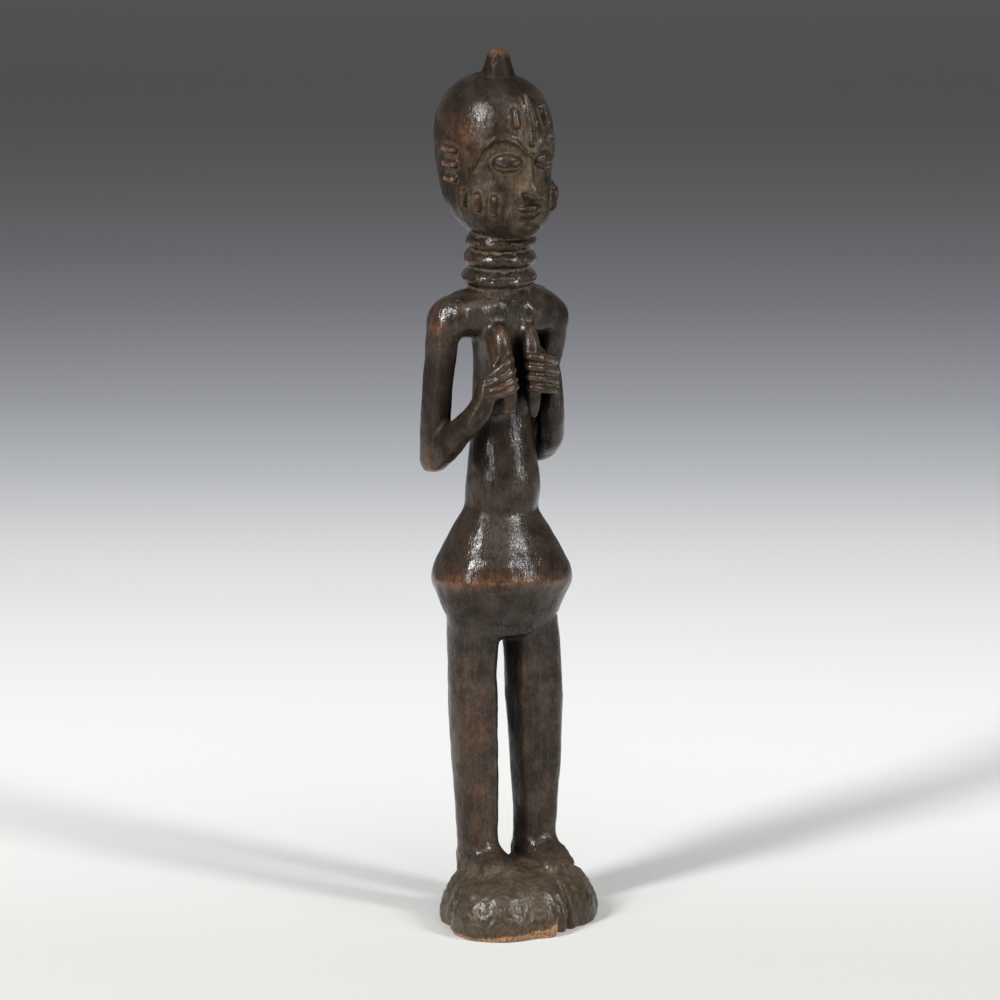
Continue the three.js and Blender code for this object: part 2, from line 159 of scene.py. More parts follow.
def layFloor():
    clearSelection()
    bpy.ops.mesh.primitive_plane_add(size=studio["floorSize"], location=(0, 0, -0.0002))
    floor = bpy.context.object
    floor.name = "paleFloor"
    cloth = bpy.data.materials.new("paleFloor")
    cloth.use_nodes = True
    tree = cloth.node_tree
    shader = tree.nodes["Principled BSDF"]
    shader.inputs["Roughness"].default_value = 0.85
    shader.inputs["Specular IOR Level"].default_value = 0.2
    place = addNode(tree, "ShaderNodeTexCoord", (-900, 0))
    split = addNode(tree, "ShaderNodeMapping", (-700, 0))
    split.inputs["Rotation"].default_value = (0, 0, math.radians(view["fromRight"]))
    axis = addNode(tree, "ShaderNodeSeparateXYZ", (-500, 0))
    fade = addNode(tree, "ShaderNodeMapRange", (-300, 0))
    near, far = studio["floorFade"][0][0], studio["floorFade"][-1][0]
    fade.inputs["From Min"].default_value = near
    fade.inputs["From Max"].default_value = far
    # painted light and shade along the floor, from the floor colour stops
    ramp = addNode(tree, "ShaderNodeValToRGB", (-100, 0))
    ramp.color_ramp.interpolation = "B_SPLINE"
    rampStops(ramp, [((at - near) / (far - near), colour) for at, colour in studio["floorFade"]])
    tree.links.new(place.outputs["Object"], split.inputs["Vector"])
    tree.links.new(split.outputs["Vector"], axis.inputs["Vector"])
    tree.links.new(axis.outputs["Y"], fade.inputs["Value"])
    tree.links.new(fade.outputs["Result"], ramp.inputs["Fac"])
    tree.links.new(ramp.outputs["Color"], shader.inputs["Base Color"])
    floor.data.materials.append(cloth)


setCamera()
setLamps()
layFloor()
print("camera, lamps and floor set")


def applyModifier(form, kind, **settings):
    modifier = form.modifiers.new(kind.lower(), kind)
    for key, value in settings.items():
        setattr(modifier, key, value)
    bpy.ops.object.modifier_apply(modifier=modifier.name)


def turnFacesOut():
    bpy.ops.mesh.select_all(action="SELECT")
    bpy.ops.mesh.normals_make_consistent(inside=False)
    bpy.ops.object.mode_set(mode="OBJECT")


def growForm(name, rows, sides=24, square=2.2, outline=None, smooth=2):
    # a disc extruded up through rows of height, centre x, centre y, half width, half depth
    clearSelection()
    bpy.ops.mesh.primitive_circle_add(vertices=sides, radius=1, fill_type="NGON", enter_editmode=True)
    form = bpy.context.object
    form.name = name
    height, x, y, halfX, halfY = rows[0]
    mesh = bmesh.from_edit_mesh(form.data)
    for spot in mesh.verts:
        turn = math.atan2(spot.co.y, spot.co.x)
        reach = outline(turn) if outline else 1.0
        wide = math.copysign(abs(math.cos(turn)) ** (2 / square), math.cos(turn))
        deep = math.copysign(abs(math.sin(turn)) ** (2 / square), math.sin(turn))
        spot.co = (x + wide * halfX * reach, y + deep * halfY * reach, height)
    bmesh.update_edit_mesh(form.data)
    bpy.ops.mesh.select_all(action="SELECT")
    for nextRow in rows[1:]:
        step = [nextRow[1] - x, nextRow[2] - y, nextRow[0] - height]
        grow = (nextRow[3] / halfX, nextRow[4] / halfY, 1)
        height, x, y, halfX, halfY = nextRow
        bpy.ops.mesh.extrude_region_move(TRANSFORM_OT_translate={"value": step})
        bpy.ops.transform.resize(value=grow, center_override=(x, y, height))
    turnFacesOut()
    applyModifier(form, "SUBSURF", levels=smooth, render_levels=smooth)
    return form


def smoothLine(points, along):
    # place on a soft line through the points, and its heading, for each distance along it
    points = np.array(points, float)
    gaps = np.concatenate([[0], np.cumsum(np.linalg.norm(np.diff(points, axis=0), axis=1))])
    slopes = np.gradient(points, gaps, axis=0)
    piece = np.clip(np.searchsorted(gaps, along) - 1, 0, len(points) - 2)
    span = (gaps[piece + 1] - gaps[piece])[:, None]
    t = np.clip((along - gaps[piece])[:, None] / span, 0, 1)
    near, far = 2 * t ** 3 - 3 * t ** 2 + 1, 3 * t ** 2 - 2 * t ** 3
    bow = (t ** 3 - 2 * t ** 2 + t) * slopes[piece] + (t ** 3 - t ** 2) * slopes[piece + 1]
    place = near * points[piece] + far * points[piece + 1] + span * bow
    heading = (1 - t) * slopes[piece] + t * slopes[piece + 1]
    return place, heading / np.linalg.norm(heading, axis=1, keepdims=True)


def sweepForm(name, points, halves, square, across):
    # an upright form bent along a line, its width kept towards across
    line = np.array(points, float)
    gaps = np.concatenate([[0], np.cumsum(np.linalg.norm(np.diff(line, axis=0), axis=1))])
    rows = [(gap, 0, 0, wide, tall) for gap, (wide, tall) in zip(gaps, halves)]
    form = growForm(name, rows, sides=20, square=square)
    spots = readSpots(form.data)[0]
    place, heading = smoothLine(points, spots[:, 2])
    wide = np.array(across, float) - heading * (heading @ np.array(across, float))[:, None]
    wide /= np.linalg.norm(wide, axis=1, keepdims=True)
    tall = np.cross(heading, wide)
    writeSpots(form.data, place + wide * spots[:, :1] + tall * spots[:, 1:2])
    pick(form)
    bpy.ops.object.mode_set(mode="EDIT")
    turnFacesOut()
    return form


def drawRod(name, points, radii):
    # a rod of changing thickness along a smooth line
    rodCurve = bpy.data.curves.new(name, "CURVE")
    rodCurve.dimensions = "3D"
    rodCurve.bevel_depth = 1
    rodCurve.bevel_resolution = 5
    rodCurve.resolution_u = 10
    rodCurve.use_fill_caps = True
    spline = rodCurve.splines.new("NURBS")
    spline.points.add(len(points) - 1)
    for knot, place, radius in zip(spline.points, points, radii):
        knot.co = (*place, 1)
        knot.radius = radius
    spline.order_u = 3
    spline.use_endpoint_u = True
    pick(addObject(name, rodCurve))
    bpy.ops.object.convert(target="MESH")
    return bpy.context.object


def ball(name, centre, halves):
    clearSelection()
    bpy.ops.mesh.primitive_uv_sphere_add(segments=32, ring_count=20, radius=1, location=centre)
    lump = bpy.context.object
    lump.name = name
    lump.scale = halves
    bpy.ops.object.transform_apply(location=True, rotation=True, scale=True)
    return lump


def fuse(name, forms, voxel, softenTimes):
    # one skin over all the forms
    clearSelection()
    for form in forms:
        form.select_set(True)
    bpy.context.view_layer.objects.active = forms[0]
    bpy.ops.object.join()
    body = bpy.context.object
    body.name = name
    applyModifier(body, "REMESH", mode="VOXEL", voxel_size=voxel)
    applyModifier(body, "SMOOTH", iterations=softenTimes, factor=0.5)
    return body


def readSpots(mesh):
    spots = np.empty(len(mesh.vertices) * 3)
    outward = np.empty(len(mesh.vertices) * 3)
    mesh.vertices.foreach_get("co", spots)
    mesh.vertices.foreach_get("normal", outward)
    return spots.reshape(-1, 3), outward.reshape(-1, 3)


def writeSpots(mesh, spots):
    mesh.vertices.foreach_set("co", spots.ravel())
    mesh.update()


def readEdges(mesh):
    edges = np.empty(len(mesh.edges) * 2, dtype=np.int64)
    mesh.edges.foreach_get("vertices", edges)
    return edges.reshape(-1, 2)


def neighbourMean(values, edges, count):
    total = np.zeros_like(values)
    for column in range(values.shape[1]):
        total[:, column] = (np.bincount(edges[:, 0], values[edges[:, 1], column], len(values))
                            + np.bincount(edges[:, 1], values[edges[:, 0], column], len(values)))
    return total / count[:, None]


def ease(low, high, value):
    t = np.clip((value - low) / (high - low), 0, 1)
    return t * t * (3 - 2 * t)


def bell(value, middle, width):
    return np.exp(-(((value - middle) / width) ** 2))


def away(spots, centre):
    return np.linalg.norm(spots - np.array(centre), axis=1)


def lineDistance(spots, line):
    # how far each spot is from a line of straight pieces
    nearest = np.full(len(spots), 1e9)
    for start, end in zip(line[:-1], line[1:]):
        start, end = np.array(start, float), np.array(end, float)
        along = np.clip(((spots - start) @ (end - start)) / ((end - start) @ (end - start)), 0, 1)
        nearest = np.minimum(nearest, np.linalg.norm(spots - start - along[:, None] * (end - start), axis=1))
    return nearest


def hashGrid(cells, seed):
    mixed = cells[:, 0] * 73856093 ^ cells[:, 1] * 19349663 ^ cells[:, 2] * 83492791 ^ seed * 2654435
    mixed = (mixed ^ (mixed >> 13)) * 1274126177 & 0x7FFFFFFF
    return (mixed ^ (mixed >> 16)) % 65536 / 65536


def softNoise(spots, size, seed):
    # smooth random field between -1 and 1, with features about size wide
    place = spots / np.asarray(size, float)
    cell = np.floor(place).astype(np.int64)
    part = place - cell
    part = part * part * (3 - 2 * part)
    total = np.zeros(len(spots))
    for corner in range(8):
        step = np.array([corner & 1, corner >> 1 & 1, corner >> 2 & 1])
        weight = np.prod(np.where(step, part, 1 - part), axis=1)
        total += weight * hashGrid(cell + step, seed)
    return total * 2 - 1


figureShape = {
    "massVoxel": 0.85,
    "skinVoxel": 0.45,
    "facesAtMost": 194000,
    "headTurn": 4.0,
    "headAxisY": 6.0,
    "faceRadius": 25.0,
}

baseShape = {
    "centreY": -14.0,
    # height, share of the reach
    "rows": [
        (-4, 0.985), (0, 0.995), (3, 1.01), (6.5, 1.01), (9.5, 0.985), (13.5, 0.925), (17.3, 0.865),
        (20, 0.76), (22, 0.58), (23, 0.36), (23.4, 0.15),
    ],
    # degrees round from the front towards her left, reach
    "reach": [
        (-180, 32.4), (-150, 32.2), (-125, 31.9), (-112, 32.2), (-99, 31.9), (-88, 33.2), (-76, 36.2),
        (-66, 38.2), (-58, 38.2), (-45, 37.4), (-34, 35.2), (-19, 32.9), (-8, 32.2), (-3, 32), (2, 31.2),
        (6, 27.6), (10, 26), (20, 26), (27, 27.4), (40, 28.8), (52, 30.8), (65, 32.3), (73, 33),
        (90, 33.8), (110, 33.2), (140, 32.5), (180, 32.4),
    ],
    # degrees, height of the raw wood along the lower edge
    "chip": [
        (-92, 0), (-78, 1.0), (-60, 0.6), (-48, 1.5), (-30, 2.4), (-12, 3.0), (-6, 4.0), (-2, 5.2), (1.5, 7.8),
        (3.4, 11), (4.4, 0),
    ],
}


def baseReach(turn):
    degrees = (math.degrees(turn) + 270) % 360 - 180
    return float(np.interp(degrees, *zip(*baseShape["reach"])))


def makeBase():
    rows = [(z, 0, baseShape["centreY"], share, share) for z, share in baseShape["rows"]]
    return growForm("base", rows, sides=120, square=2.0, outline=baseReach, smooth=1)


# height, x out from the middle, y, half width, half depth
legRows = {
    rightSide: [
        (12, 13.3, -3.4, 7.8, 9), (24, 13.3, -3.3, 7.8, 9), (32, 13.3, -3.2, 7.9, 8.6),
        (47, 13.4, -2.9, 8.25, 8.9), (60, 13.85, -2.4, 8.85, 9.4), (73, 14.25, -1.9, 9.45, 9.8),
        (90, 14.4, -1, 9.35, 10.2), (108, 14.2, -0.2, 9.4, 10.4), (118, 14.1, 0, 9.7, 10.8),
        (128, 13.7, 0.2, 10, 11.4), (134, 13, 0.4, 9, 10),
    ],
    leftSide: [
        (12, 13.7, -3.4, 8.1, 9.2), (24, 13.7, -3.3, 8.1, 9.2), (32, 13.75, -3.2, 8.1, 9),
        (47, 14.1, -2.9, 8.7, 9.5), (60, 14.2, -2.4, 9.8, 10.2), (73, 14.5, -1.9, 10.45, 10.7),
        (90, 14.5, -1, 11.1, 11.3), (100, 14.4, -0.6, 11.3, 11.5), (112, 14.1, -0.2, 11.1, 11.5),
        (122, 13.3, 0, 11.2, 11.5), (134, 13, 0.2, 9.4, 10),
    ],
}
# along the foot: x outwards, y, height of the middle, half width, half height
footRows = {
    rightSide: [
        (13.6, 7, 24, 4.6, 5.6), (13.6, 4.5, 24.4, 6.2, 7.4), (12.9, -1, 25.4, 7.2, 8.8),
        (12.1, -6.5, 24.9, 8.2, 7.7), (11.6, -11, 24.3, 8.6, 6.5), (12, -15.5, 23.8, 8.6, 5.5),
        (12.6, -19, 22.8, 8.4, 4.2), (12.9, -21.5, 22, 7, 3.1),
    ],
    leftSide: [
        (14.1, 7, 24, 5.6, 5.6), (14.1, 4.5, 24.4, 7.4, 7.4), (14.1, -1, 25.4, 8.3, 8.8),
        (13.8, -6.5, 25.8, 8.4, 8.2), (14.1, -11, 25.2, 8.5, 6.9), (14.4, -16, 24.2, 8.3, 5.4),
        (14.2, -20.5, 23.2, 7.5, 4.1), (14.2, -23.5, 22.6, 6.5, 3.1),
    ],
}
# toes from the big one outwards: sideways from the middle of the foot, how far forward of the last row, half thickness
toes = [(-6.0, 2.2, 2.3), (-2.7, 2.5, 1.9), (0.4, 2.0, 1.8), (3.2, 0.9, 1.7), (5.9, -0.6, 1.6)]


def mirrored(line, side):
    return [(x * side, y, z) for x, y, z in line]


def sideRows(rows, side):
    return [(z, x * side, *rest) for z, x, *rest in rows[side]]


def makeLeg(side):
    forms = [growForm("leg", sideRows(legRows, side), sides=20, square=2.7)]
    path = mirrored([row[:3] for row in footRows[side]], side)
    forms.append(sweepForm("foot", path, [row[3:] for row in footRows[side]], square=2.5, across=(1, 0, 0)))
    lastX, lastY, lastZ = path[-1]
    for out, forward, thick in toes:
        x = lastX + out * side
        tip = lastY - forward
        line = [(x - 0.2 * side * out / 5, lastY + 7.5, lastZ + 2.6), (x, lastY + 3.2, lastZ + 1.9),
                (x, tip + 1, lastZ + 0.9), (x, tip - 0.6, lastZ - 0.6)]
        forms.append(drawRod("toe", line, (thick, thick * 1.1, thick * 1.1, thick * 0.8)))
    return forms


# height, x, y, half width, half depth
trunkRows = [
    (116.5, 0, -1, 8, 6), (118.5, 0, -0.9, 16, 10.2), (121, 0, -0.5, 22, 12.8), (126, 0.1, 0, 25, 16),
    (132, 0.3, 0.5, 27, 19.6), (137, 0.3, 0.8, 28.5, 23), (140, 0.3, 0.8, 29.5, 25.7),
    (142.2, 0.3, 0.8, 29.6, 26.1), (146, 0.25, 0.7, 28.9, 25.3), (152, 0, 0.4, 26.3, 23.3),
    (159, -0.4, 0.2, 22.4, 19.7), (165.5, -0.5, 0.5, 18.5, 16.5), (169.6, -0.2, 0.8, 15.9, 14.4),
    (171.4, 0, 0.8, 15.3, 14), (173.4, 0, 0.2, 15.2, 14.7), (177, 0, -0.4, 15.1, 15.3),
    (182, 0, -1, 14.8, 15.1), (190, 0, -0.9, 14, 14.2), (201, 0, 0, 12.8, 12.2), (214, 0, 0.3, 12, 10.6),
    (229, 0, 0.9, 11.8, 9.8), (239, 0, 1.5, 12.1, 10.6), (250, 0, 1.8, 12.3, 11.2), (256, 0, 1.8, 9, 9),
]
# across, y, z, half depth, half height of the shoulders
shoulderRows = {
    rightSide: [
        (8, 2.1, 252.2, 11.9, 11.2), (14, 2.3, 252.1, 11.1, 10.1), (20, 2.6, 251.6, 10, 9.4),
        (25, 2.9, 250.4, 8.9, 9), (29, 3.1, 248.4, 7.4, 7.8), (31.4, 3.2, 246.4, 5.4, 5.8),
    ],
    leftSide: [
        (8, 2.1, 252.4, 11.9, 11.6), (14, 2.3, 252, 11.1, 10.8), (20, 2.6, 250.9, 10, 9.4),
        (25, 2.9, 249.2, 8.8, 8.3), (29, 3.1, 247.3, 7.3, 6.9), (31.2, 3.2, 245.9, 5.4, 5.2),
    ],
}


def makeShoulders():
    rightRows = [(-across, *rest) for across, *rest in reversed(shoulderRows[rightSide])]
    rows = rightRows + [(0, 2, 252.4, 12.4, 12.2)] + shoulderRows[leftSide]
    # the upright form's height becomes X, its x becomes Y and its y becomes Z
    yoke = growForm("shoulders", rows, sides=24, square=2.3)
    yoke.data.transform(Matrix(((0, 0, 1, 0), (1, 0, 0, 0), (0, 1, 0, 0), (0, 0, 0, 1))))
    return yoke


armRows = {
    rightSide: [
        (187.6, 28, 7.6, 2.2, 3.2), (188.6, 28, 7.4, 3.8, 4.8), (191.2, 28, 7, 5, 6.2),
        (195, 27.9, 6.4, 5.4, 6.7), (204, 27.7, 5.9, 5.2, 6.6), (214, 27.7, 5.3, 5.1, 6.5),
        (224, 27.5, 4.6, 5.1, 6.5), (234, 26.7, 3.9, 5.3, 6.8), (243, 25.9, 3.4, 5.8, 7.2),
        (252, 25.2, 3.1, 5, 6.4),
    ],
    leftSide: [
        (188.6, 22.9, 8.6, 2.2, 3.2), (189.6, 22.9, 8.4, 3.8, 4.8), (192, 23, 8.1, 5, 6.2),
        (197, 23.1, 7.8, 5.5, 6.6), (204, 22.9, 7.5, 5.3, 6.6), (213, 22.4, 7.2, 5, 6.5),
        (222, 22.5, 6.4, 5.2, 6.5), (232, 23.9, 5.2, 5.8, 6.9), (242, 25.4, 3.9, 6.1, 7.3),
        (252, 25.4, 3.2, 5, 6.4),
    ],
}
# along the forearm and the back of the hand: x outwards, y, z, half width, half height
foreArmRows = {
    rightSide: [
        (27.8, 13.4, 189.8, 2.8, 2.6), (27.8, 12.2, 190.4, 4.4, 4.6), (27.7, 8, 192.4, 5.1, 6.4),
        (27, 2.2, 196.6, 5.4, 6.8), (25.2, -4.6, 203.4, 5.2, 6.2), (22.2, -11, 209.8, 4.9, 5.6),
        (19.4, -14.8, 215, 4.7, 5.2), (17.8, -16, 219.6, 4.4, 4.7), (16.8, -15.8, 224, 4, 4.2),
        (15, -15.3, 228.4, 3.2, 3.6), (13.4, -15, 231.6, 2, 2.2),
    ],
    leftSide: [
        (22.6, 14, 190, 2.8, 2.6), (22.6, 12.6, 190.6, 4.2, 4.4), (22.5, 8.6, 192, 4.9, 6.2),
        (21.9, 2.6, 195.6, 5.2, 6.6), (20.4, -4, 200.6, 5.3, 6.2), (17.6, -10.2, 207.4, 4.9, 5.6),
        (15.9, -13.4, 213, 4.6, 5.3), (15.8, -13.7, 217.6, 4.4, 5), (16, -13.3, 222, 4.2, 4.7),
        (15.9, -12.8, 227, 3.9, 4.3), (15.5, -12.4, 231.4, 3.4, 3.7), (15, -12, 234.6, 2, 2.2),
    ],
}


def makeArm(side):
    upper = growForm("upperArm", sideRows(armRows, side), sides=20, square=3.3)
    path = mirrored([row[:3] for row in foreArmRows[side]], side)
    lower = sweepForm("foreArm", path, [row[3:] for row in foreArmRows[side]], square=2.5, across=(1, 0, 0))
    return [upper, lower]


neckRings = [(266.3, 15.7, 3.6), (274.2, 14.9, 3.2), (280.9, 14.3, 2.9)]  # height, radius, half thickness


def makeNeck():
    rows = [(255, 0, 2.4, 12.4, 12.4), (262, 0, 2.4, 12.4, 12.4)]
    for at, radius, half in neckRings:
        for share, reach in ((-0.98, 0.0), (-0.7, 0.62), (-0.28, 0.97), (0.2, 1.0), (0.66, 0.66), (0.98, 0.0)):
            lean = 0.7 * (at - 266) / 14
            size = 12.2 + (radius - 12.2) * reach
            rows.append((at + half * share, lean, 2.4, size, size))
    rows.append((290, 0.4, 2.6, 11.8, 11.8))
    return growForm("neck", rows, sides=28, square=2)


def makeHead():
    # rows of the skull: height, half width, front, back
    skull = [
        (283.2, 7.4, 16.5, 6), (284.2, 11.2, 20.8, 8.8), (287.4, 15.8, 24.6, 12.6),
        (293, 19.8, 25.8, 17.6), (300, 21.4, 26.2, 22.6), (307, 22, 26.5, 25.7), (315, 22.5, 26.5, 27.5),
        (325, 22.9, 26.3, 28), (334, 21.9, 24.7, 26.2), (341.5, 18.4, 20.2, 21.2),
        (346.6, 12.2, 13.4, 14), (349.5, 5, 5.6, 5.8), (350, 2.2, 2.4, 2.4),
    ]
    rows = [(z, 0, (back - front) / 2, halfX, (front + back) / 2) for z, halfX, front, back in skull]
    head = growForm("head", rows, sides=32, square=2.1)
    noseRows = [
        (0, 0, 0, 4.2, 3.6), (1.2, 0, 0.3, 4.4, 4.2), (4.5, 0, 1.6, 3.2, 4.2), (9, 0, 2.9, 2.2, 3.8),
        (14, 0, 3.4, 1.8, 3), (19, 0, 2.8, 1.7, 2.4),
    ]
    nose = growForm("nose", noseRows, sides=16, square=2.3)
    nose.data.transform(Matrix.Translation((0, -28.6, 301.2)))
    wings = [ball("wing", (x, -27.4, 303), (2.1, 2.6, 1.9)) for x in (-3.2, 3.2)]
    upperLine = [
        (-5.6, -25.0, 296.6), (-2.6, -27.3, 297.4), (0, -28.2, 297.2), (2.6, -27.3, 297.4), (5.6, -25.0, 296.6),
    ]
    lowerLine = [
        (-5, -24.9, 294.6), (-2.4, -26.8, 294.1), (0, -27.5, 293.9), (2.4, -26.8, 294.1), (5, -24.9, 294.6),
    ]
    upperLip = drawRod("upperLip", upperLine, (0.5, 1.35, 1.55, 1.35, 0.5))
    lowerLip = drawRod("lowerLip", lowerLine, (0.5, 1.3, 1.6, 1.3, 0.5))
    chin = ball("chin", (0, -21.5, 288.4), (7, 4.6, 4.4))
    parts = [head, nose, *wings, upperLip, lowerLip, chin]
    spin = Matrix.Rotation(math.radians(figureShape["headTurn"]), 4, "Z")
    spin = Matrix.Translation((0, figureShape["headAxisY"], 0)) @ spin
    for part in parts:
        part.data.transform(spin)
    return parts


def makeKnob():
    profile = [
        (345, 7.2), (348.8, 7.1), (350.3, 6.6), (352.6, 5.7), (355.2, 5.0), (357.4, 4.3), (358.7, 2.9), (359, 1.2),
    ]
    return growForm("knob", [(z, 0, 3, radius, radius) for z, radius in profile], sides=16, square=2.0)


# the long breasts, from the top down: x outwards, y, z, radius
breastRows = {
    rightSide: [
        (7.9, -10.6, 248, 2), (8.3, -12.6, 245.9, 3), (8.6, -14, 243, 3.8), (8.5, -15, 239.6, 4.1),
        (8, -16, 235, 4.2), (7.5, -17.2, 226, 4.1), (7.1, -17.9, 218, 3.9), (6.9, -18.2, 213.6, 3.1),
    ],
    leftSide: [
        (6.6, -10.2, 247.6, 2), (6.2, -11.8, 245.6, 3), (5.7, -13.4, 242.6, 3.7),
        (5.2, -14.4, 239.6, 4.1), (4.9, -15.5, 235, 4), (4.7, -16.9, 226, 3.9), (4.8, -17.6, 218, 3.2),
        (4.9, -17.6, 213, 2.2), (4.9, -17.4, 210.4, 1.3),
    ],
}
# fills the corner between the breast and the side of the trunk: height, x outwards, y, half width, half depth
flankRows = {
    rightSide: [
        (210, 7, -4, 4.2, 5), (214, 7, -7, 4.4, 6.5), (222, 7.2, -8.6, 4.6, 8), (232, 7.7, -8.4, 4.8, 8.2),
        (241, 7.9, -7.6, 4.9, 8), (247, 7.8, -6.4, 4.8, 7), (251, 7.8, -5, 4, 5),
    ],
    leftSide: [
        (210, 5, -4, 4, 4.6), (214, 5, -6.4, 4.2, 6), (222, 5, -8, 4.3, 7.4), (232, 5.2, -8, 4.4, 7.6),
        (241, 5.8, -7, 4.5, 7), (247, 6, -6, 4.4, 6), (251, 6, -5, 4, 5),
    ],
}

# fingers from the lowest up
handShape = {
    rightSide: {
        "knuckles": [(17.4, -18.2, 220.4), (17.3, -18.5, 223.3), (16.9, -18.4, 226.2), (16, -17.9, 229.4)],
        "middles": [(12, -22.2, 223.2), (12, -22.4, 226), (12, -22.2, 229.5), (12, -21.7, 233.4)],
        "tips": [(5.2, -21.9, 225.2), (5.6, -22, 228), (6.6, -21.7, 231.9), (7.4, -21.2, 236.2)],
        "thick": (1.75, 1.75, 1.95, 2.1),
        "thumb": [(15.6, -15.4, 226), (13.8, -16.2, 231.6), (11.6, -17.4, 236), (10.2, -17.8, 239.4)],
    },
    leftSide: {
        "knuckles": [(15.6, -16.6, 220.4), (15.8, -16.3, 224.5), (15.8, -16, 228.7), (15.4, -15.6, 232.7)],
        "middles": [(8.2, -21.3, 222.7), (8.2, -21.3, 226.8), (8.2, -21, 231), (8.2, -20.6, 235.1)],
        "tips": [(1.6, -20.8, 223.9), (1.3, -20.7, 228), (1.3, -20.4, 232.1), (1.6, -20, 236.1)],
        "thick": (2.05, 2.15, 2.15, 2.1),
        "thumb": [(14, -13, 230), (11.4, -14.6, 235), (9, -15.4, 238), (7.6, -15.6, 240)],
    },
}


def fingerLines(side):
    shape = handShape[side]
    for knuckle, middle, tip in zip(shape["knuckles"], shape["middles"], shape["tips"]):
        (kx, ky, kz), (tx, ty, tz) = knuckle, tip
        nearTip = [(tx + 1.8, ty - 0.4, tz - 0.3), (tx, ty + 1, tz), (tx - 0.1, ty + 3.8, tz)]
        yield mirrored([(kx + 0.8, ky + 2.4, kz - 0.9), knuckle, middle, *nearTip], side)


def makeHand(side):
    shape = handShape[side]
    forms = []
    for girth, line in zip(shape["thick"], fingerLines(side)):
        forms.append(drawRod("finger", line, [girth * share for share in (1.05, 1.05, 1, 0.97, 0.9, 0.6)]))
    forms.append(drawRod("thumb", mirrored(shape["thumb"], side), (1.8, 1.5, 1.2, 0.8)))
    return forms


def makeFigure():
    neckCore = [
        (250, 0, 2.2, 14, 13), (258, 0, 2.3, 13, 12.6), (262.5, 0, 2.4, 12.6, 12.4), (290, 0.4, 2.6, 11.8, 11.8),
    ]
    masses = [makeBase(), growForm("trunk", trunkRows, sides=28, square=2.15), makeShoulders()]
    masses += [growForm("neckCore", neckCore, sides=24, square=2)]
    for side in (rightSide, leftSide):
        masses += makeLeg(side) + makeArm(side)
        path = mirrored([row[:3] for row in breastRows[side]], side)
        masses.append(drawRod("breast", path, [row[3] for row in breastRows[side]]))
        masses.append(growForm("flank", sideRows(flankRows, side), sides=16, square=3))
    body = fuse("masses", masses, figureShape["massVoxel"], 10)
    print("masses fused", len(body.data.vertices))
    details = [makeNeck(), makeKnob(), *makeHead()]
    for side in (rightSide, leftSide):
        details += makeHand(side)
    figure = fuse("carvedFigure", [body, *details], figureShape["skinVoxel"], 3)
    print("details fused", len(figure.data.vertices))
    return figure


# degrees round the head, height, half length, half width, upright: brow, then cheeks, then temples
bars = [(1.5, 332, 10.4, 1.9, True), (-14, 333.4, 4.2, 2, True), (20, 333.6, 4.6, 1.9, True)]
for way in (-1, 1):
    bars += [
        (34.5 * way, 298.4, 4.7, 1.8, True), (50.5 * way, 299.7, 4.3, 1.8, True), (66.5 * way, 300.7, 4, 1.7, True),
    ]
for way in (-1, 1):
    bars += [(86 * way, 308, 4.4, 1.6, False), (86 * way, 314, 5, 1.7, False), (86 * way, 320, 5.2, 1.7, False)]


headCarving = {
    # out from the middle of the face along the skin, height of the brow
    "brow": [
        (0, 317.5), (2.2, 318.4), (5.5, 322.2), (10, 324.6), (15, 323.6), (19, 320.6), (22, 316), (26, 309),
    ],
    "browDepth": 1.5, "browEdge": 0.75,
    "lidRise": 2.5, "lidGroove": 0.45, "slitDepth": 1.15,
    "barRise": 2.4, "barGroove": 0.15,
}


def headMap(spots):
    # degrees round the head from the middle of the face, and the distance out from its axis
    turn = math.radians(-figureShape["headTurn"])
    x, y = spots[:, 0], spots[:, 1] - figureShape["headAxisY"]
    localX = x * math.cos(turn) - y * math.sin(turn)
    localY = x * math.sin(turn) + y * math.cos(turn)
    return np.degrees(np.arctan2(localX, -localY)), np.hypot(localX, localY)


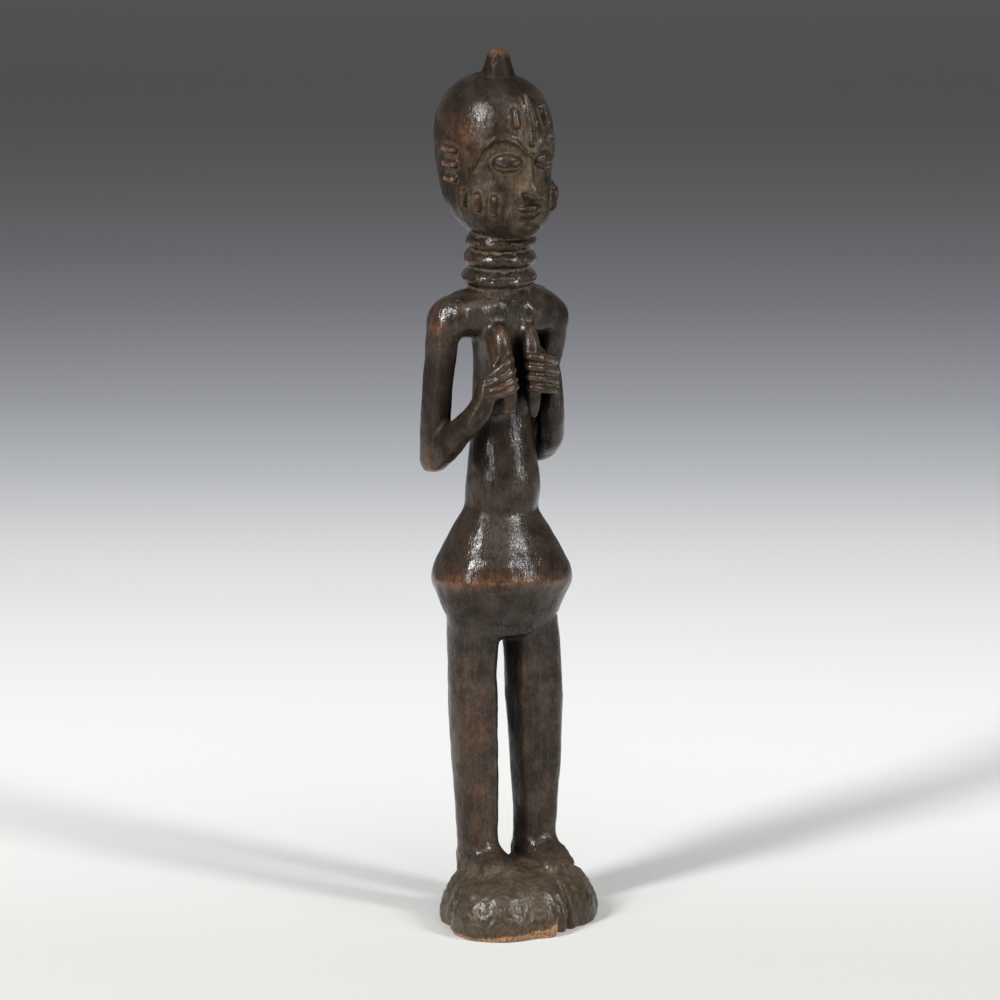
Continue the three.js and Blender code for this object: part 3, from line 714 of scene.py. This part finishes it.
def carveHead(spots, outward):
    degrees, out = headMap(spots)
    z = spots[:, 2]
    onHead = (z > 284) & (z < 350) & (out > 14)
    arc = np.radians(degrees) * figureShape["faceRadius"]
    rise = np.zeros(len(spots))
    flat = np.stack([arc, z, np.zeros(len(z))], axis=1)

    # brow edge: full forehead above, a shallow socket below it
    for side in (-1, 1):
        across = arc * side
        browZ = np.interp(across, *zip(*headCarving["brow"]))
        below = ease(0.9, -0.5, z - browZ) * ease(300, 309, z) * ease(-0.5, 1.5, across) * ease(27, 22, across)
        rise -= headCarving["browDepth"] * below
        edge = bell(z, browZ + 1.2, 1.3) * ease(0.5, 2.5, across) * ease(26, 20, across)
        rise += headCarving["browEdge"] * edge
        # closed lids with a long slit
        shape = ((across - 9.6) / 6.7) ** 2 + ((z - 315.6) / 3.9) ** 2
        rise += headCarving["lidRise"] * np.clip(1 - shape, 0, 1) ** 0.55
        rise -= headCarving["lidGroove"] * bell(np.sqrt(shape), 1.12, 0.1)
        slitZ = 314.6 - 0.9 * np.cos(np.clip((across - 9.6) / 6, -1, 1) * math.pi / 2)
        rise -= headCarving["slitDepth"] * bell(z, slitZ, 0.42) * ease(6.4, 5.2, np.abs(across - 9.6))
        rise -= 0.28 * bell(z, slitZ + 2.2, 0.35) * ease(5.6, 4.4, np.abs(across - 9.6))
        # the cheek runs out of the socket and falls away beside the mouth
        rise += 0.5 * bell(across, 13, 6) * bell(z, 306.5, 3.2)
        rise -= 0.9 * bell(across, 8.4, 2.2) * bell(z, 297, 5)
    rise -= 0.8 * bell(arc, 0, 4.6) * bell(z, 291.4, 1.1)

    for at, barZ, halfLength, halfWidth, upright in bars:
        middle = math.radians(at) * figureShape["faceRadius"]
        reach = halfLength - halfWidth
        dx, dz = (0, reach) if upright else (reach, 0)
        ends = [(middle - dx, barZ - dz, 0), (middle + dx, barZ + dz, 0)]
        near = np.abs(arc - middle) < 12
        gap = np.full(len(spots), 99.0)
        gap[near] = lineDistance(flat[near], ends)
        rise += headCarving["barRise"] * np.clip(1 - (gap / halfWidth) ** 2, 0, 1) ** 0.8
        rise -= headCarving["barGroove"] * bell(gap, halfWidth + 0.5, 0.7)
    spots[onHead] += outward[onHead] * rise[onHead, None]


def cut(spots, outward, line, width, depth):
    line = np.array(line, float)
    near = np.all((spots > line.min(0) - 4 * width) & (spots < line.max(0) + 4 * width), axis=1)
    gap = lineDistance(spots[near], line)
    spots[near] -= outward[near] * (depth * bell(gap, 0, width))[:, None]


softPlaces = [
    # centre, radius, times: joints that run into each other without a step
    ((-18.5, -16, 218), 7, 24), ((-23, -10.5, 208), 9, 40), ((16.6, -14.6, 217.4), 7.5, 26),
    ((-14, -12, 31), 9, 140), ((14, -12, 32), 9, 140), ((-28, 7, 190), 8, 12), ((23, 8, 190), 8, 12),
    ((18.5, -9, 126.5), 8, 60), ((-9.6, -18.4, 239), 4.5, 8),
]


def softenJoints(figure):
    spots = readSpots(figure.data)[0]
    edges = readEdges(figure.data)
    for centre, radius, times in softPlaces:
        near = away(spots, centre) < radius * 1.6
        local = np.full(len(spots), -1)
        local[near] = np.arange(near.sum())
        inner = local[edges[near[edges].all(axis=1)]]
        part = spots[near]
        count = np.maximum(np.bincount(inner.ravel(), minlength=len(part)), 1).astype(float)
        weight = ease(radius * 1.5, radius * 0.6, away(part, centre))[:, None]
        for turn in range(times):
            part += weight * 0.6 * (neighbourMean(part, inner, count) - part)
        spots[near] = part
    writeSpots(figure.data, spots)


def baseTurn(spots):
    return np.degrees(np.arctan2(spots[:, 0], -(spots[:, 1] - baseShape["centreY"])))


def carveBase(spots, outward):
    turn = baseTurn(spots)
    z = spots[:, 2]
    out = np.hypot(spots[:, 0], spots[:, 1] - baseShape["centreY"])
    side = (z < 23) & (out > 15)
    fade = ease(23, 15, z)
    # the deep split in front, the valley beside it, then flutes towards her left and right
    drop = 3.0 * bell(turn, 6.2, 2.6) * ease(20, 13, z)
    drop += 1.5 * bell(turn, -19, 7) * ease(24, 17, z)
    drop -= 0.9 * bell(turn, 13.5, 3) * ease(18, 12, z)
    for at, width, depth in (
        (20.5, 2.6, 1.8), (33, 4, 0.8), (46, 4.5, 0.7), (61, 5, 0.5), (-72, 4, 0.2), (-87, 4, 0.7), (-104, 6, 0.6),
    ):
        drop += depth * bell(turn, at, width) * fade
    # rim broken away in front, down to raw wood, and nicked on her right
    lip = chipHeight(turn, spots)
    undercut = np.interp(turn, [-62, -50, -30, 0, 4], [0, 0.35, 1, 1.1, 0])
    drop += 0.9 * np.clip((lip - z) / 2.6, 0, 1) * (lip > 0.2) * undercut
    drop += 1.6 * bell(turn, -97, 5) * ease(4.5, 1.5, z)
    spots[side, :2] -= outward[side, :2] * drop[side, None]


def chipHeight(turn, spots):
    flat = spots * np.array([1, 1, 0])
    wave = 0.5 * softNoise(flat, (3.2, 3.2, 1), 5) + 0.3 * softNoise(flat, (1.3, 1.3, 1), 9)
    return np.interp(turn, *zip(*baseShape["chip"])) * (1 + 0.35 * wave)


facets = [
    # a place on the surface, the way the knife left it facing, radius, how flat
    ((-26.4, -3, 255.4), (-0.69, -0.59, 0.42), 8, 0.45),
    ((-18.6, -9.4, 329.6), (-0.72, -0.57, 0.4), 12, 0.25),
    ((-27.2, -35, 15.4), (-0.67, -0.57, 0.48), 6, 0.4),
    ((-4.6, -42.2, 14.6), (-0.1, -0.89, 0.45), 6, 0.6),
]


def cutFacets(spots):
    for centre, toward, radius, flatness in facets:
        toward = np.array(toward) / np.linalg.norm(toward)
        offset = spots - np.array(centre, float)
        height = offset @ toward
        aside = np.linalg.norm(offset - height[:, None] * toward, axis=1)
        near = (aside < radius) & (np.abs(height) < 5)
        height[near] -= np.median(height[near & (aside < radius * 0.4)])
        share = flatness * ease(radius, radius * 0.5, aside[near]) * ease(-5, -2.5, height[near])
        spots[near] -= toward * (height[near] * share)[:, None]


hipRidge = {"height": 140.9, "riseInFront": 3.6, "edge": 0.5, "sharpness": 1.4, "wear": 0.75, "wornBand": 2.9}
toolMarks = {"waves": 0.42, "ripples": 0.2, "dapple": 0.09, "depth": 0.8, "onBase": 1.5, "onHead": 0.6}


# from height, to height, fade at the top, layers of depth, size and seed
unevenParts = [
    (284, 352, 0, ((0.12, (2.4, 2.4, 2.4), 16), (0.06, (1.2, 1.2, 1.2), 17))),  # skull
    (259, 285, 0, ((0.4, (4.5, 4.5, 2.6), 12), (0.2, (1.7, 1.7, 1.3), 13))),  # neck
    # bark-like lumps on feet and base
    (0, 34, 8, ((0.2, (2.8, 2.8, 2.4), 14), (0.22, (1.5, 1.5, 1.5), 15), (0.08, (0.8, 0.8, 0.8), 18))),
]


# width, depth, line of each hollow or crease
bodyCuts = [
    (3.2, 0.9, [(-11, -13.6, 123.4), (-5, -14, 122.6), (2, -13, 122.4)]),  # over the thighs
    (2, 0.42, [(-14, -15.4, 128.2), (-8, -17, 127.8), (-2, -16.6, 127), (3.5, -15.4, 126)]),
    (1, 0.5, [(-29, -5, 129), (-26.4, 0, 127.6), (-24, 6, 127)]),  # beside the hips
    (1, 0.5, [(27.4, 1, 123.6), (24.4, -5, 124.8), (20, -10, 125.4)]),
    # under the belly
    (1, 0.45, [(-13.5, -9.5, 171.2), (-8, -13.4, 170.6), (0, -14.8, 170.2), (8, -13.4, 170.6), (13.5, -9.5, 171.2)]),
]
upperCuts = [
    (3.2, 0.9, [(17, -7, 256), (15.5, -9, 252.5), (14.5, -10, 249)]),  # under the slope of her left shoulder
    (1.8, 1, [(-1.2, -11.5, 250), (-1.2, -10, 244), (-1.2, -9.5, 232)]),  # the breastbone
    # doubled neck ring
    (0.6, 0.6, [(-12.6, -7.4, 266.4), (-8, -11.6, 266.4), (0, -13.6, 266.5), (8, -11.6, 266.4), (12.4, -7, 266.2)]),
]
knobCrack = (0.45, 1.1, [(-1.4, -1.2, 358), (-2.6, -0.8, 355), (-4.6, 0.2, 351.8), (-5.5, 0.4, 350)])


def ridgeRise(spots):
    # the ridge round the hips climbs towards the side that faces the camera
    front = np.cos(np.arctan2(spots[:, 0], -spots[:, 1]) + math.radians(view["fromRight"]))
    return front, hipRidge["riseInFront"] * np.clip(front, -0.4, 1)


def carveBody(spots, outward):
    # long knife facets: broad random waves, drawn out along the limbs
    low = spots[:, 2] < 24
    head = spots[:, 2] > 284
    waves = toolMarks["waves"] * softNoise(spots, (7, 7, 13), 1)
    waves += toolMarks["ripples"] * softNoise(spots, (3.4, 3.4, 6), 2)
    amount = np.where(low, toolMarks["onBase"], np.where(head, toolMarks["onHead"], 1.0))
    dapple = toolMarks["dapple"] * softNoise(spots, (1.6, 1.6, 2.2), 3)
    cutFacets(spots)
    spots += outward * (waves * amount + dapple)[:, None] * toolMarks["depth"]
    hips = (spots[:, 2] > 122) & (spots[:, 2] < 160)
    front, rise = ridgeRise(spots[hips])
    spots[hips, 2] += rise * ease(123, 137, spots[hips, 2]) * ease(159, 145, spots[hips, 2])
    edge = ease(0.1, 0.6, front) * bell(spots[hips, 2], hipRidge["height"] + rise, hipRidge["sharpness"])
    spots[hips, :2] += outward[hips, :2] * (hipRidge["edge"] * edge)[:, None]
    for width, depth, line in bodyCuts:
        cut(spots, outward, line, width, depth)
    # between the fingers
    for side in (rightSide, leftSide):
        lines = [np.array(line) for line in fingerLines(side)]
        for lower, upper in zip(lines[:-1], lines[1:]):
            middle = (lower + upper) / 2
            cut(spots, outward, middle[1:5] + np.array([0, -1.6, 0]), 0.6, 0.7)
    # collar bones: soft bumps under the neck, with a crease over each breast
    for side, end, out in (
        (rightSide, (6.0, -11, 255.6), (15, -8, 255.4)),
        (leftSide, (8.4, -10, 253.4), (15, -7, 253.6)),
    ):
        x, y, z = end
        between = ((x + out[0]) / 2, (y + out[1]) / 2, z)
        crease = [(x + 4.5, y - 0.5, z - 4.2), (x + 1, y - 1.5, z - 4.6), (x - 2.6, y - 0.5, z - 3.6)]
        cut(spots, outward, mirrored([out, between, end], side), 3.0, -0.3)
        cut(spots, outward, mirrored([end, (x + 0.6, y, z)], side), 1.8, -0.9)
        cut(spots, outward, mirrored(crease, side), 1.0, 0.8)
    for width, depth, line in upperCuts:
        cut(spots, outward, line, width, depth)
    for low, high, fade, layers in unevenParts:
        part = (spots[:, 2] > low) & (spots[:, 2] < high)
        lumps = sum(depth * softNoise(spots[part], size, seed) for depth, size, seed in layers)
        if fade:
            lumps = lumps * ease(high, high - fade, spots[part, 2]) * ease(low, low + 3, spots[part, 2])
        spots[part] += outward[part] * lumps[:, None]
    width, depth, line = knobCrack
    cut(spots, outward, line, width, depth)


def keepInside(spots, low, high):
    for axis in range(3):
        spots[:, axis] = np.clip(spots[:, axis], low[axis], high[axis])


def carveFigure(figure):
    softenJoints(figure)
    spots, outward = readSpots(figure.data)
    carveHead(spots, outward)
    writeSpots(figure.data, spots)
    spots, outward = readSpots(figure.data)
    carveBody(spots, outward)
    carveBase(spots, outward)
    writeSpots(figure.data, spots)
    pick(figure)
    bpy.ops.object.mode_set(mode="EDIT")
    bpy.ops.mesh.select_all(action="SELECT")
    bpy.ops.mesh.bisect(plane_co=(0, 0, 0), plane_no=(0, 0, 1), use_fill=True, clear_inner=True)
    bpy.ops.object.mode_set(mode="OBJECT")
    faces = sum(len(face.vertices) - 2 for face in figure.data.polygons)
    pick(figure)
    share = min(1, figureShape["facesAtMost"] / faces)
    applyModifier(figure, "DECIMATE", ratio=share, use_collapse_triangulate=True)
    print("carved, faces", len(figure.data.polygons))


def hiddenShare(spots, outward, figure, rays=12, reach=26.0, goldenTurn=2.39996):
    # how much of the space over each spot is shut in by the figure itself, later painted on as shade
    tree = BVHTree.FromPolygons(spots.tolist(), [tuple(face.vertices) for face in figure.data.polygons])
    side = np.cross(outward, np.where(np.abs(outward[:, 2:]) < 0.9, [[0, 0, 1.0]], [[1.0, 0, 0]]))
    side /= np.linalg.norm(side, axis=1, keepdims=True)
    other = np.cross(outward, side)
    start = spots + outward * 0.5
    shut = np.zeros(len(spots))
    for ray in range(rays):
        lift = math.sqrt(1 - (ray + 0.5) / rays)
        flat = math.sqrt(1 - lift * lift)
        turn = ray * goldenTurn
        aim = outward * lift + side * flat * math.cos(turn) + other * flat * math.sin(turn)
        hits = [tree.ray_cast(Vector(a), Vector(b), reach)[0] for a, b in zip(start.tolist(), aim.tolist())]
        shut += [hit is not None for hit in hits]
    return shut / rays


sootAndShadePlaces = [
    # centre, radius, strength: patina left thick and black, and painted shade down between the legs and on the crown
    ((-31, 5, 228), 10, 0.9), ((-31, 6, 208), 10, 0.8), ((-24, -2, 225), 7, 0.6), ((27, -4, 250), 8, 0.7),
    ((0, -8, 348), 12, 0.7), ((0, 12, 344), 22, 0.6), ((0, 3, 353), 8, 0.45), ((26, -8, 150), 10, 0.6),
    # painted shade down between the legs
    ((0, 0, 112), 8, 0.9), ((0, 0, 94), 9, 1), ((0, 0, 75), 9, 1), ((0, 0, 56), 9, 1),
    ((0, -2, 38), 8, 0.8), ((16, -12, 163), 10, 0.3), ((-4, -20, 160), 9, 0.35), ((20, 4, 128), 14, 0.35),
    ((-4, -22, 128), 10, 0.3), ((28, -10, 12), 12, 0.6), ((16, -36, 11), 9, 0.5),
    ((-14, -8, 258), 7, 0.3), ((-7, -19, 212), 5, 0.6), ((5, -18, 210), 5, 0.6), ((-27, -3, 222), 8, 0.7),
    ((-27, -3, 238), 7, 0.5), ((-27, -2, 207), 8, 0.6),
]
wearPlaces = [
    # centre, radius, strength: rubbed to reddish brown
    ((-31.5, -1, 247), 5, 0.9), ((-33, -1.5, 238), 5, 0.7), ((-33.6, -0.5, 226), 4, 0.45),
    ((31, -2, 246), 5, 0.6), ((-33.5, 3, 191), 6, 0.7), ((-28, -2, 187), 5, 0.5),
    ((-14, -4, 257), 6, 0.35), ((-8, -17, 246), 3.5, 0.7), ((5, -16, 245), 3, 0.5),
    ((-12, -9, 240), 5, 0.5), ((-12, -8, 228), 5, 0.3), ((0, 3, 358), 4.5, 0.5),
    ((-12, -26, 226), 8, 0.45), ((-9, -20, 276), 6, 0.3), ((-19, -9, 327), 6.5, 0.6),
    ((-23.5, -2, 325), 9, 0.55), ((-8, -26, 21), 3, 1), ((-26, -12, 145), 6, 0.7),
    ((-14, -20, 144), 8, 0.3), ((4, -24, 143), 8, 0.3), ((28, -8, 142), 8, 0.5),
    ((-20, -6, 100), 9, 0.25), ((-18, -8, 80), 10, 0.45), ((-17, -9, 55), 9, 0.4),
    ((-14, -12, 38), 6, 0.45),
]

mattPlaces = [
    # centre, radius, strength: duller where above zero, glossier below
    ((-14.6, -5.8, 170.2), 8, 0.6), ((-22.8, -15.2, 149.2), 5, -0.6), ((-12, -18, 156), 4.5, 0.45),
    ((-2, -21, 157), 5, -0.2), ((-3, -24.6, 147.6), 5, -0.25), ((-10.2, -18.3, 239.5), 4.5, 0.7),
    ((6, -15, 238), 4.5, 0.6), ((-21.2, -17.3, 222.5), 8, 0.6), ((-24, -10, 210), 9, 0.5),
    ((-12, -15, 331), 5, 0.5), ((-24, 12, 300), 12, 0.7),
]


surfaceMarks = {
    "rubbedEdges": 0.75, "roundedWear": 0.5, "legWear": 0.06, "footWear": 0.3, "chipWear": 0.7,
    "hollowDust": 0.8, "creviceDust": 0.2, "faceDust": 0.36, "baseDust": 0.66,
    "bareBars": 0.36, "bareTip": 0.3, "bareUnderside": 0.35, "patchySoot": 0.25,
    "mattHead": 0.35, "mattFace": 0.3, "mattKnob": 0.3,
}


def nearPlaces(spots, places):
    return sum(strength * bell(away(spots, centre), 0, radius) for centre, radius, strength in places)


def markSurface(figure):
    mesh = figure.data
    spots, outward = readSpots(mesh)
    edges = readEdges(mesh)
    count = np.bincount(edges.ravel(), minlength=len(spots)).astype(float)
    soft = spots
    for turn in range(24):
        soft = neighbourMean(soft, edges, count)
        if turn == 5:
            fine = np.einsum("ij,ij->i", spots - soft, outward)
    broad = np.einsum("ij,ij->i", spots - soft, outward)
    occlusionShade = hiddenShare(spots, outward, figure)[:, None]
    for turn in range(4):
        occlusionShade = neighbourMean(occlusionShade, edges, count)
    occlusionShade = occlusionShade[:, 0]
    z = spots[:, 2]
    speck = softNoise(spots, (0.9, 0.9, 1.6), 21)
    patch = softNoise(spots, (5, 5, 9), 22)
    marks = surfaceMarks
    wear = marks["rubbedEdges"] * ease(0.17, 0.42, fine + 0.03 * speck - 0.13 * (z > 286))
    wear = (wear + marks["roundedWear"] * ease(0.95, 1.9, broad)) * (0.75 + 0.35 * patch)
    wear += nearPlaces(spots, wearPlaces) * (0.7 + 0.4 * speck)
    onHips = np.hypot(spots[:, 0], spots[:, 1]) > 20
    ridgeZ = hipRidge["height"] - 0.1 + ridgeRise(spots)[1]
    wear += hipRidge["wear"] * bell(z, ridgeZ, hipRidge["wornBand"]) * (0.65 + 0.5 * patch) * onHips
    wear += marks["legWear"] * ease(118, 105, z) * ease(22, 34, z)

    degrees = headMap(spots)[0]
    face = (z > 286) & (z < 330) & (np.abs(degrees) < 75)
    dust = marks["hollowDust"] * ease(0.05, 0.5, -broad) + marks["creviceDust"] * ease(0.05, 0.25, -fine)
    dust = dust * np.where(z > 285, 0.55, np.where(z > 260, 1.0, 0.5))
    faceDust = marks["faceDust"] * ease(330, 318, z) * ease(286, 292, z) * ease(75, 55, np.abs(degrees))
    dust += np.where(face, faceDust, 0) * (1 - ease(0.0, 0.25, fine + broad * 0.3))

    # raw wood along the chipped lower edge, and where the bars and the knob are rubbed through
    lip = chipHeight(baseTurn(spots), spots)
    wear += marks["chipWear"] * bell(z, lip + 1.6, 1.4) * (lip > 1.5) * (z < 16) * (0.7 + 0.4 * patch)
    bare = ease(0.6, -0.2, z - lip - 0.3 * speck) * (lip > 0.3) * (z < 9)
    rubbedBars = ease(0.4, 0.85, fine) * (0.6 + 0.5 * speck) * (z > 286) * (z < 345)
    bare = np.maximum(bare, marks["bareBars"] * rubbedBars)
    bare = np.maximum(bare, marks["bareTip"] * ease(355.5, 358.5, z) * (0.6 + 0.5 * speck))
    bare = np.maximum(bare, marks["bareUnderside"] * ((z < 0.05) & (outward[:, 2] < -0.7)))

    wear *= 1 - 0.7 * ease(0.35, 0.8, occlusionShade)
    dust *= 1 - 0.6 * ease(0.3, 0.7, occlusionShade)
    wear += marks["footWear"] * ease(0.2, 1.1, patch + 0.4 * speck) * ease(16, 21, z) * ease(38, 28, z)
    dust += marks["baseDust"] * ease(30, 21, z) * (0.8 + 0.4 * patch) * (1 - 0.6 * np.clip(wear, 0, 1))
    # eased, the shut-in share is kept on the surface as painted shade for hollows and between parts
    occlusionShade = ease(0.28, 0.82, occlusionShade)
    sootAndShade = marks["patchySoot"] * ease(0.1, 0.9, patch) + nearPlaces(spots, sootAndShadePlaces) * (0.75 + 0.35 * patch)
    wear *= 1 - 0.8 * np.clip(sootAndShade, 0, 1)
    matt = marks["mattHead"] * (z > 277) + np.where(face, marks["mattFace"] * ease(330, 318, z), 0)
    matt += marks["mattKnob"] * ease(346, 350, z) + nearPlaces(spots, mattPlaces)
    layers = {"wear": wear, "dust": dust, "bare": bare, "occlusionShade": occlusionShade, "sootAndShade": sootAndShade, "matt": matt}
    for name, values in layers.items():
        layer = mesh.attributes.new(name, "FLOAT", "POINT")
        layer.data.foreach_set("value", np.clip(values, -0.6 if name == "matt" else 0, 1).astype(np.float32))
    print("surface marked: wear %.2f, dust %.2f, bare %.3f" % (wear.mean(), dust.mean(), bare.mean()))


woodLook = {
    "deepPatinaAndShade": (0.0112, 0.0080, 0.0060),
    "brownPatina": (0.034, 0.0216, 0.0145),
    "olivePatina": (0.027, 0.0214, 0.014),
    "warmBrown": (0.056, 0.0325, 0.0192),
    "wornBrown": (0.135, 0.060, 0.027),
    "rawWood": (0.44, 0.26, 0.14),
    "dust": (0.103, 0.075, 0.046),
    # near black for the painted shade in hollows and between parts
    "hollow": (0.0045, 0.0037, 0.0032),
    "roughness": 0.155,
    "shine": 0.532,
    "bump": 0.9,
}


def carvedWood():
    wood = bpy.data.materials.new("carvedWood")
    wood.use_nodes = True
    tree = wood.node_tree
    shader = tree.nodes["Principled BSDF"]
    link = tree.links.new
    places = iter([(220 * column - 3300, 1700 - 300 * row) for column in range(15) for row in range(12)])

    def node(kind, **settings):
        return addNode(tree, kind, next(places), **settings)

    coord = node("ShaderNodeTexCoord").outputs["Object"]

    def feed(socket, value):
        if isinstance(value, bpy.types.NodeSocket):
            link(value, socket)
        else:
            socket.default_value = value

    def noise(scale, detail, stretch=(1, 1, 1), roughness=0.55, distortion=0.0):
        mapping = node("ShaderNodeMapping")
        mapping.inputs["Scale"].default_value = stretch
        link(coord, mapping.inputs["Vector"])
        cloud = node("ShaderNodeTexNoise")
        link(mapping.outputs["Vector"], cloud.inputs["Vector"])
        for name, value in zip(("Scale", "Detail", "Roughness", "Distortion"), (scale, detail, roughness, distortion)):
            cloud.inputs[name].default_value = value
        return cloud.outputs["Fac"]

    def spread(value, low, high, toLow=0.0, toHigh=1.0):
        shift = node("ShaderNodeMapRange", interpolation_type="SMOOTHSTEP")
        for name, number in (("From Min", low), ("From Max", high), ("To Min", toLow), ("To Max", toHigh)):
            shift.inputs[name].default_value = number
        link(value, shift.inputs["Value"])
        return shift.outputs["Result"]

    def maths(kind, first, second):
        result = node("ShaderNodeMath", operation=kind)
        feed(result.inputs[0], first)
        feed(result.inputs[1], second)
        return result.outputs["Value"]

    def times(first, second):
        return maths("MULTIPLY", first, second)

    def blend(share, under, over):
        mix = node("ShaderNodeMix", data_type="RGBA")
        link(share, mix.inputs["Factor"])
        colours = [socket for socket in mix.inputs if socket.type == "RGBA"]
        for socket, value in zip(colours, (under, over)):
            feed(socket, (*value, 1) if isinstance(value, tuple) else value)
        return [socket for socket in mix.outputs if socket.type == "RGBA"][0]

    names = ("wear", "dust", "bare", "occlusionShade", "sootAndShade", "matt")
    marks = {name: node("ShaderNodeAttribute", attribute_name=name).outputs["Fac"] for name in names}
    cloudy = noise(120, 5)
    mottle = noise(300, 5, roughness=0.65)
    streaks = noise(620, 4, stretch=(1, 1, 0.055), roughness=0.6, distortion=0.4)
    fineGrain = noise(1900, 3, stretch=(1, 1, 0.07), roughness=0.6)
    crackle = noise(950, 2, stretch=(1, 1, 0.3), roughness=0.5)
    pits = noise(2600, 2, roughness=0.6)
    tinge = noise(420, 4, roughness=0.7)
    pores = noise(1500, 3, stretch=(1, 1, 0.45), roughness=0.7)
    glint = noise(1700, 2, stretch=(1, 1, 0.25), roughness=0.6)

    # small cells with bent edges, as in a dried varnish
    bent = node("ShaderNodeVectorMath", operation="MULTIPLY_ADD")
    link(noise(900, 1), bent.inputs[0])
    bent.inputs[1].default_value = (0.0011, 0.0011, 0.0011)
    link(coord, bent.inputs[2])
    cells = node("ShaderNodeTexVoronoi", feature="DISTANCE_TO_EDGE")
    cells.inputs["Scale"].default_value = 680
    link(bent.outputs["Vector"], cells.inputs["Vector"])
    cellEdge = cells.outputs["Distance"]

    brown = blend(spread(tinge, 0.38, 0.56), woodLook["olivePatina"], woodLook["brownPatina"])
    colour = blend(spread(cloudy, 0.36, 0.66), woodLook["deepPatinaAndShade"], brown)
    colour = blend(times(spread(streaks, 0.5, 0.68), 0.35), colour, woodLook["warmBrown"])
    colour = blend(times(spread(mottle, 0.5, 0.75), 0.35), colour, woodLook["warmBrown"])
    worn = times(marks["wear"], spread(mottle, 0.3, 0.62, 0.25, 1.15))
    worn = times(worn, spread(streaks, 0.3, 0.6, 0.6, 1.0))
    colour = blend(maths("MINIMUM", worn, 1.0), colour, woodLook["wornBrown"])
    dusty = maths("MINIMUM", times(marks["dust"], spread(mottle, 0.32, 0.6, 0.4, 1.0)), 0.85)
    colour = blend(dusty, colour, woodLook["dust"])
    colour = blend(spread(pores, 0.36, 0.5, 0.65, 0.0), colour, woodLook["deepPatinaAndShade"])
    # painted shade: near black laid into hollows and between parts, by how shut in each spot is
    colour = blend(times(marks["occlusionShade"], 0.85), colour, woodLook["hollow"])
    # dark patina, with painted shade between the legs and on the crown
    colour = blend(times(marks["sootAndShade"], 0.8), colour, woodLook["deepPatinaAndShade"])
    rawColour = blend(spread(fineGrain, 0.35, 0.65), woodLook["rawWood"], woodLook["wornBrown"])
    link(blend(marks["bare"], colour, rawColour), shader.inputs["Base Color"])

    rough = spread(cloudy, 0.3, 0.7, woodLook["roughness"] + 0.07, woodLook["roughness"] - 0.03)
    rough = maths("ADD", rough, spread(pits, 0.3, 0.7, -0.02, 0.04))
    bare, occlusionShade, sootAndShade, matt = [marks[name] for name in ("bare", "occlusionShade", "sootAndShade", "matt")]
    for mask, share in ((dusty, 0.25), (bare, 0.35), (occlusionShade, 0.45), (sootAndShade, 0.2), (matt, 0.12)):
        rough = maths("ADD", rough, times(mask, share))
    link(rough, shader.inputs["Roughness"])

    shine = times(spread(glint, 0.4, 0.6, 0.5, 1.0), spread(cellEdge, 0.0, 0.1, 0.7, 1.0))
    shine = times(shine, spread(cloudy, 0.35, 0.6, 0.7, 1.0))
    for mask, share in ((occlusionShade, 1.0), (dusty, 0.4), (sootAndShade, 0.75), (matt, 1.0)):
        shine = times(shine, maths("SUBTRACT", 1.0, times(mask, share)))
    link(times(shine, woodLook["shine"]), shader.inputs["Specular IOR Level"])

    height = maths("ADD", crackle, spread(cellEdge, 0.0, 0.11, 0.0, 0.12))
    for pattern, share in ((fineGrain, 0.06), (streaks, 0.42), (pits, 0.03)):
        height = maths("ADD", height, times(pattern, share))
    bump = node("ShaderNodeBump")
    bump.inputs["Strength"].default_value = woodLook["bump"]
    bump.inputs["Distance"].default_value = 0.00014
    link(height, bump.inputs["Height"])
    link(bump.outputs["Normal"], shader.inputs["Normal"])
    return wood


figure = makeFigure()
carveFigure(figure)
markSurface(figure)
figure.data.transform(Matrix.Scale(0.001, 4) @ Matrix.Translation(standAt))
spots, outward = readSpots(figure.data)
lowest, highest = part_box("figure")
keepInside(spots, [v - 0.0004 for v in lowest], [v + 0.0004 for v in highest])
spots[:, 2] = np.clip(spots[:, 2], 0, highest[2] + 0.0002)
writeSpots(figure.data, spots)
pick(figure)
bpy.ops.object.shade_smooth()
figure.data.materials.clear()
figure.data.materials.append(carvedWood())
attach(figure, "root")
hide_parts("figure")
print("wood applied")
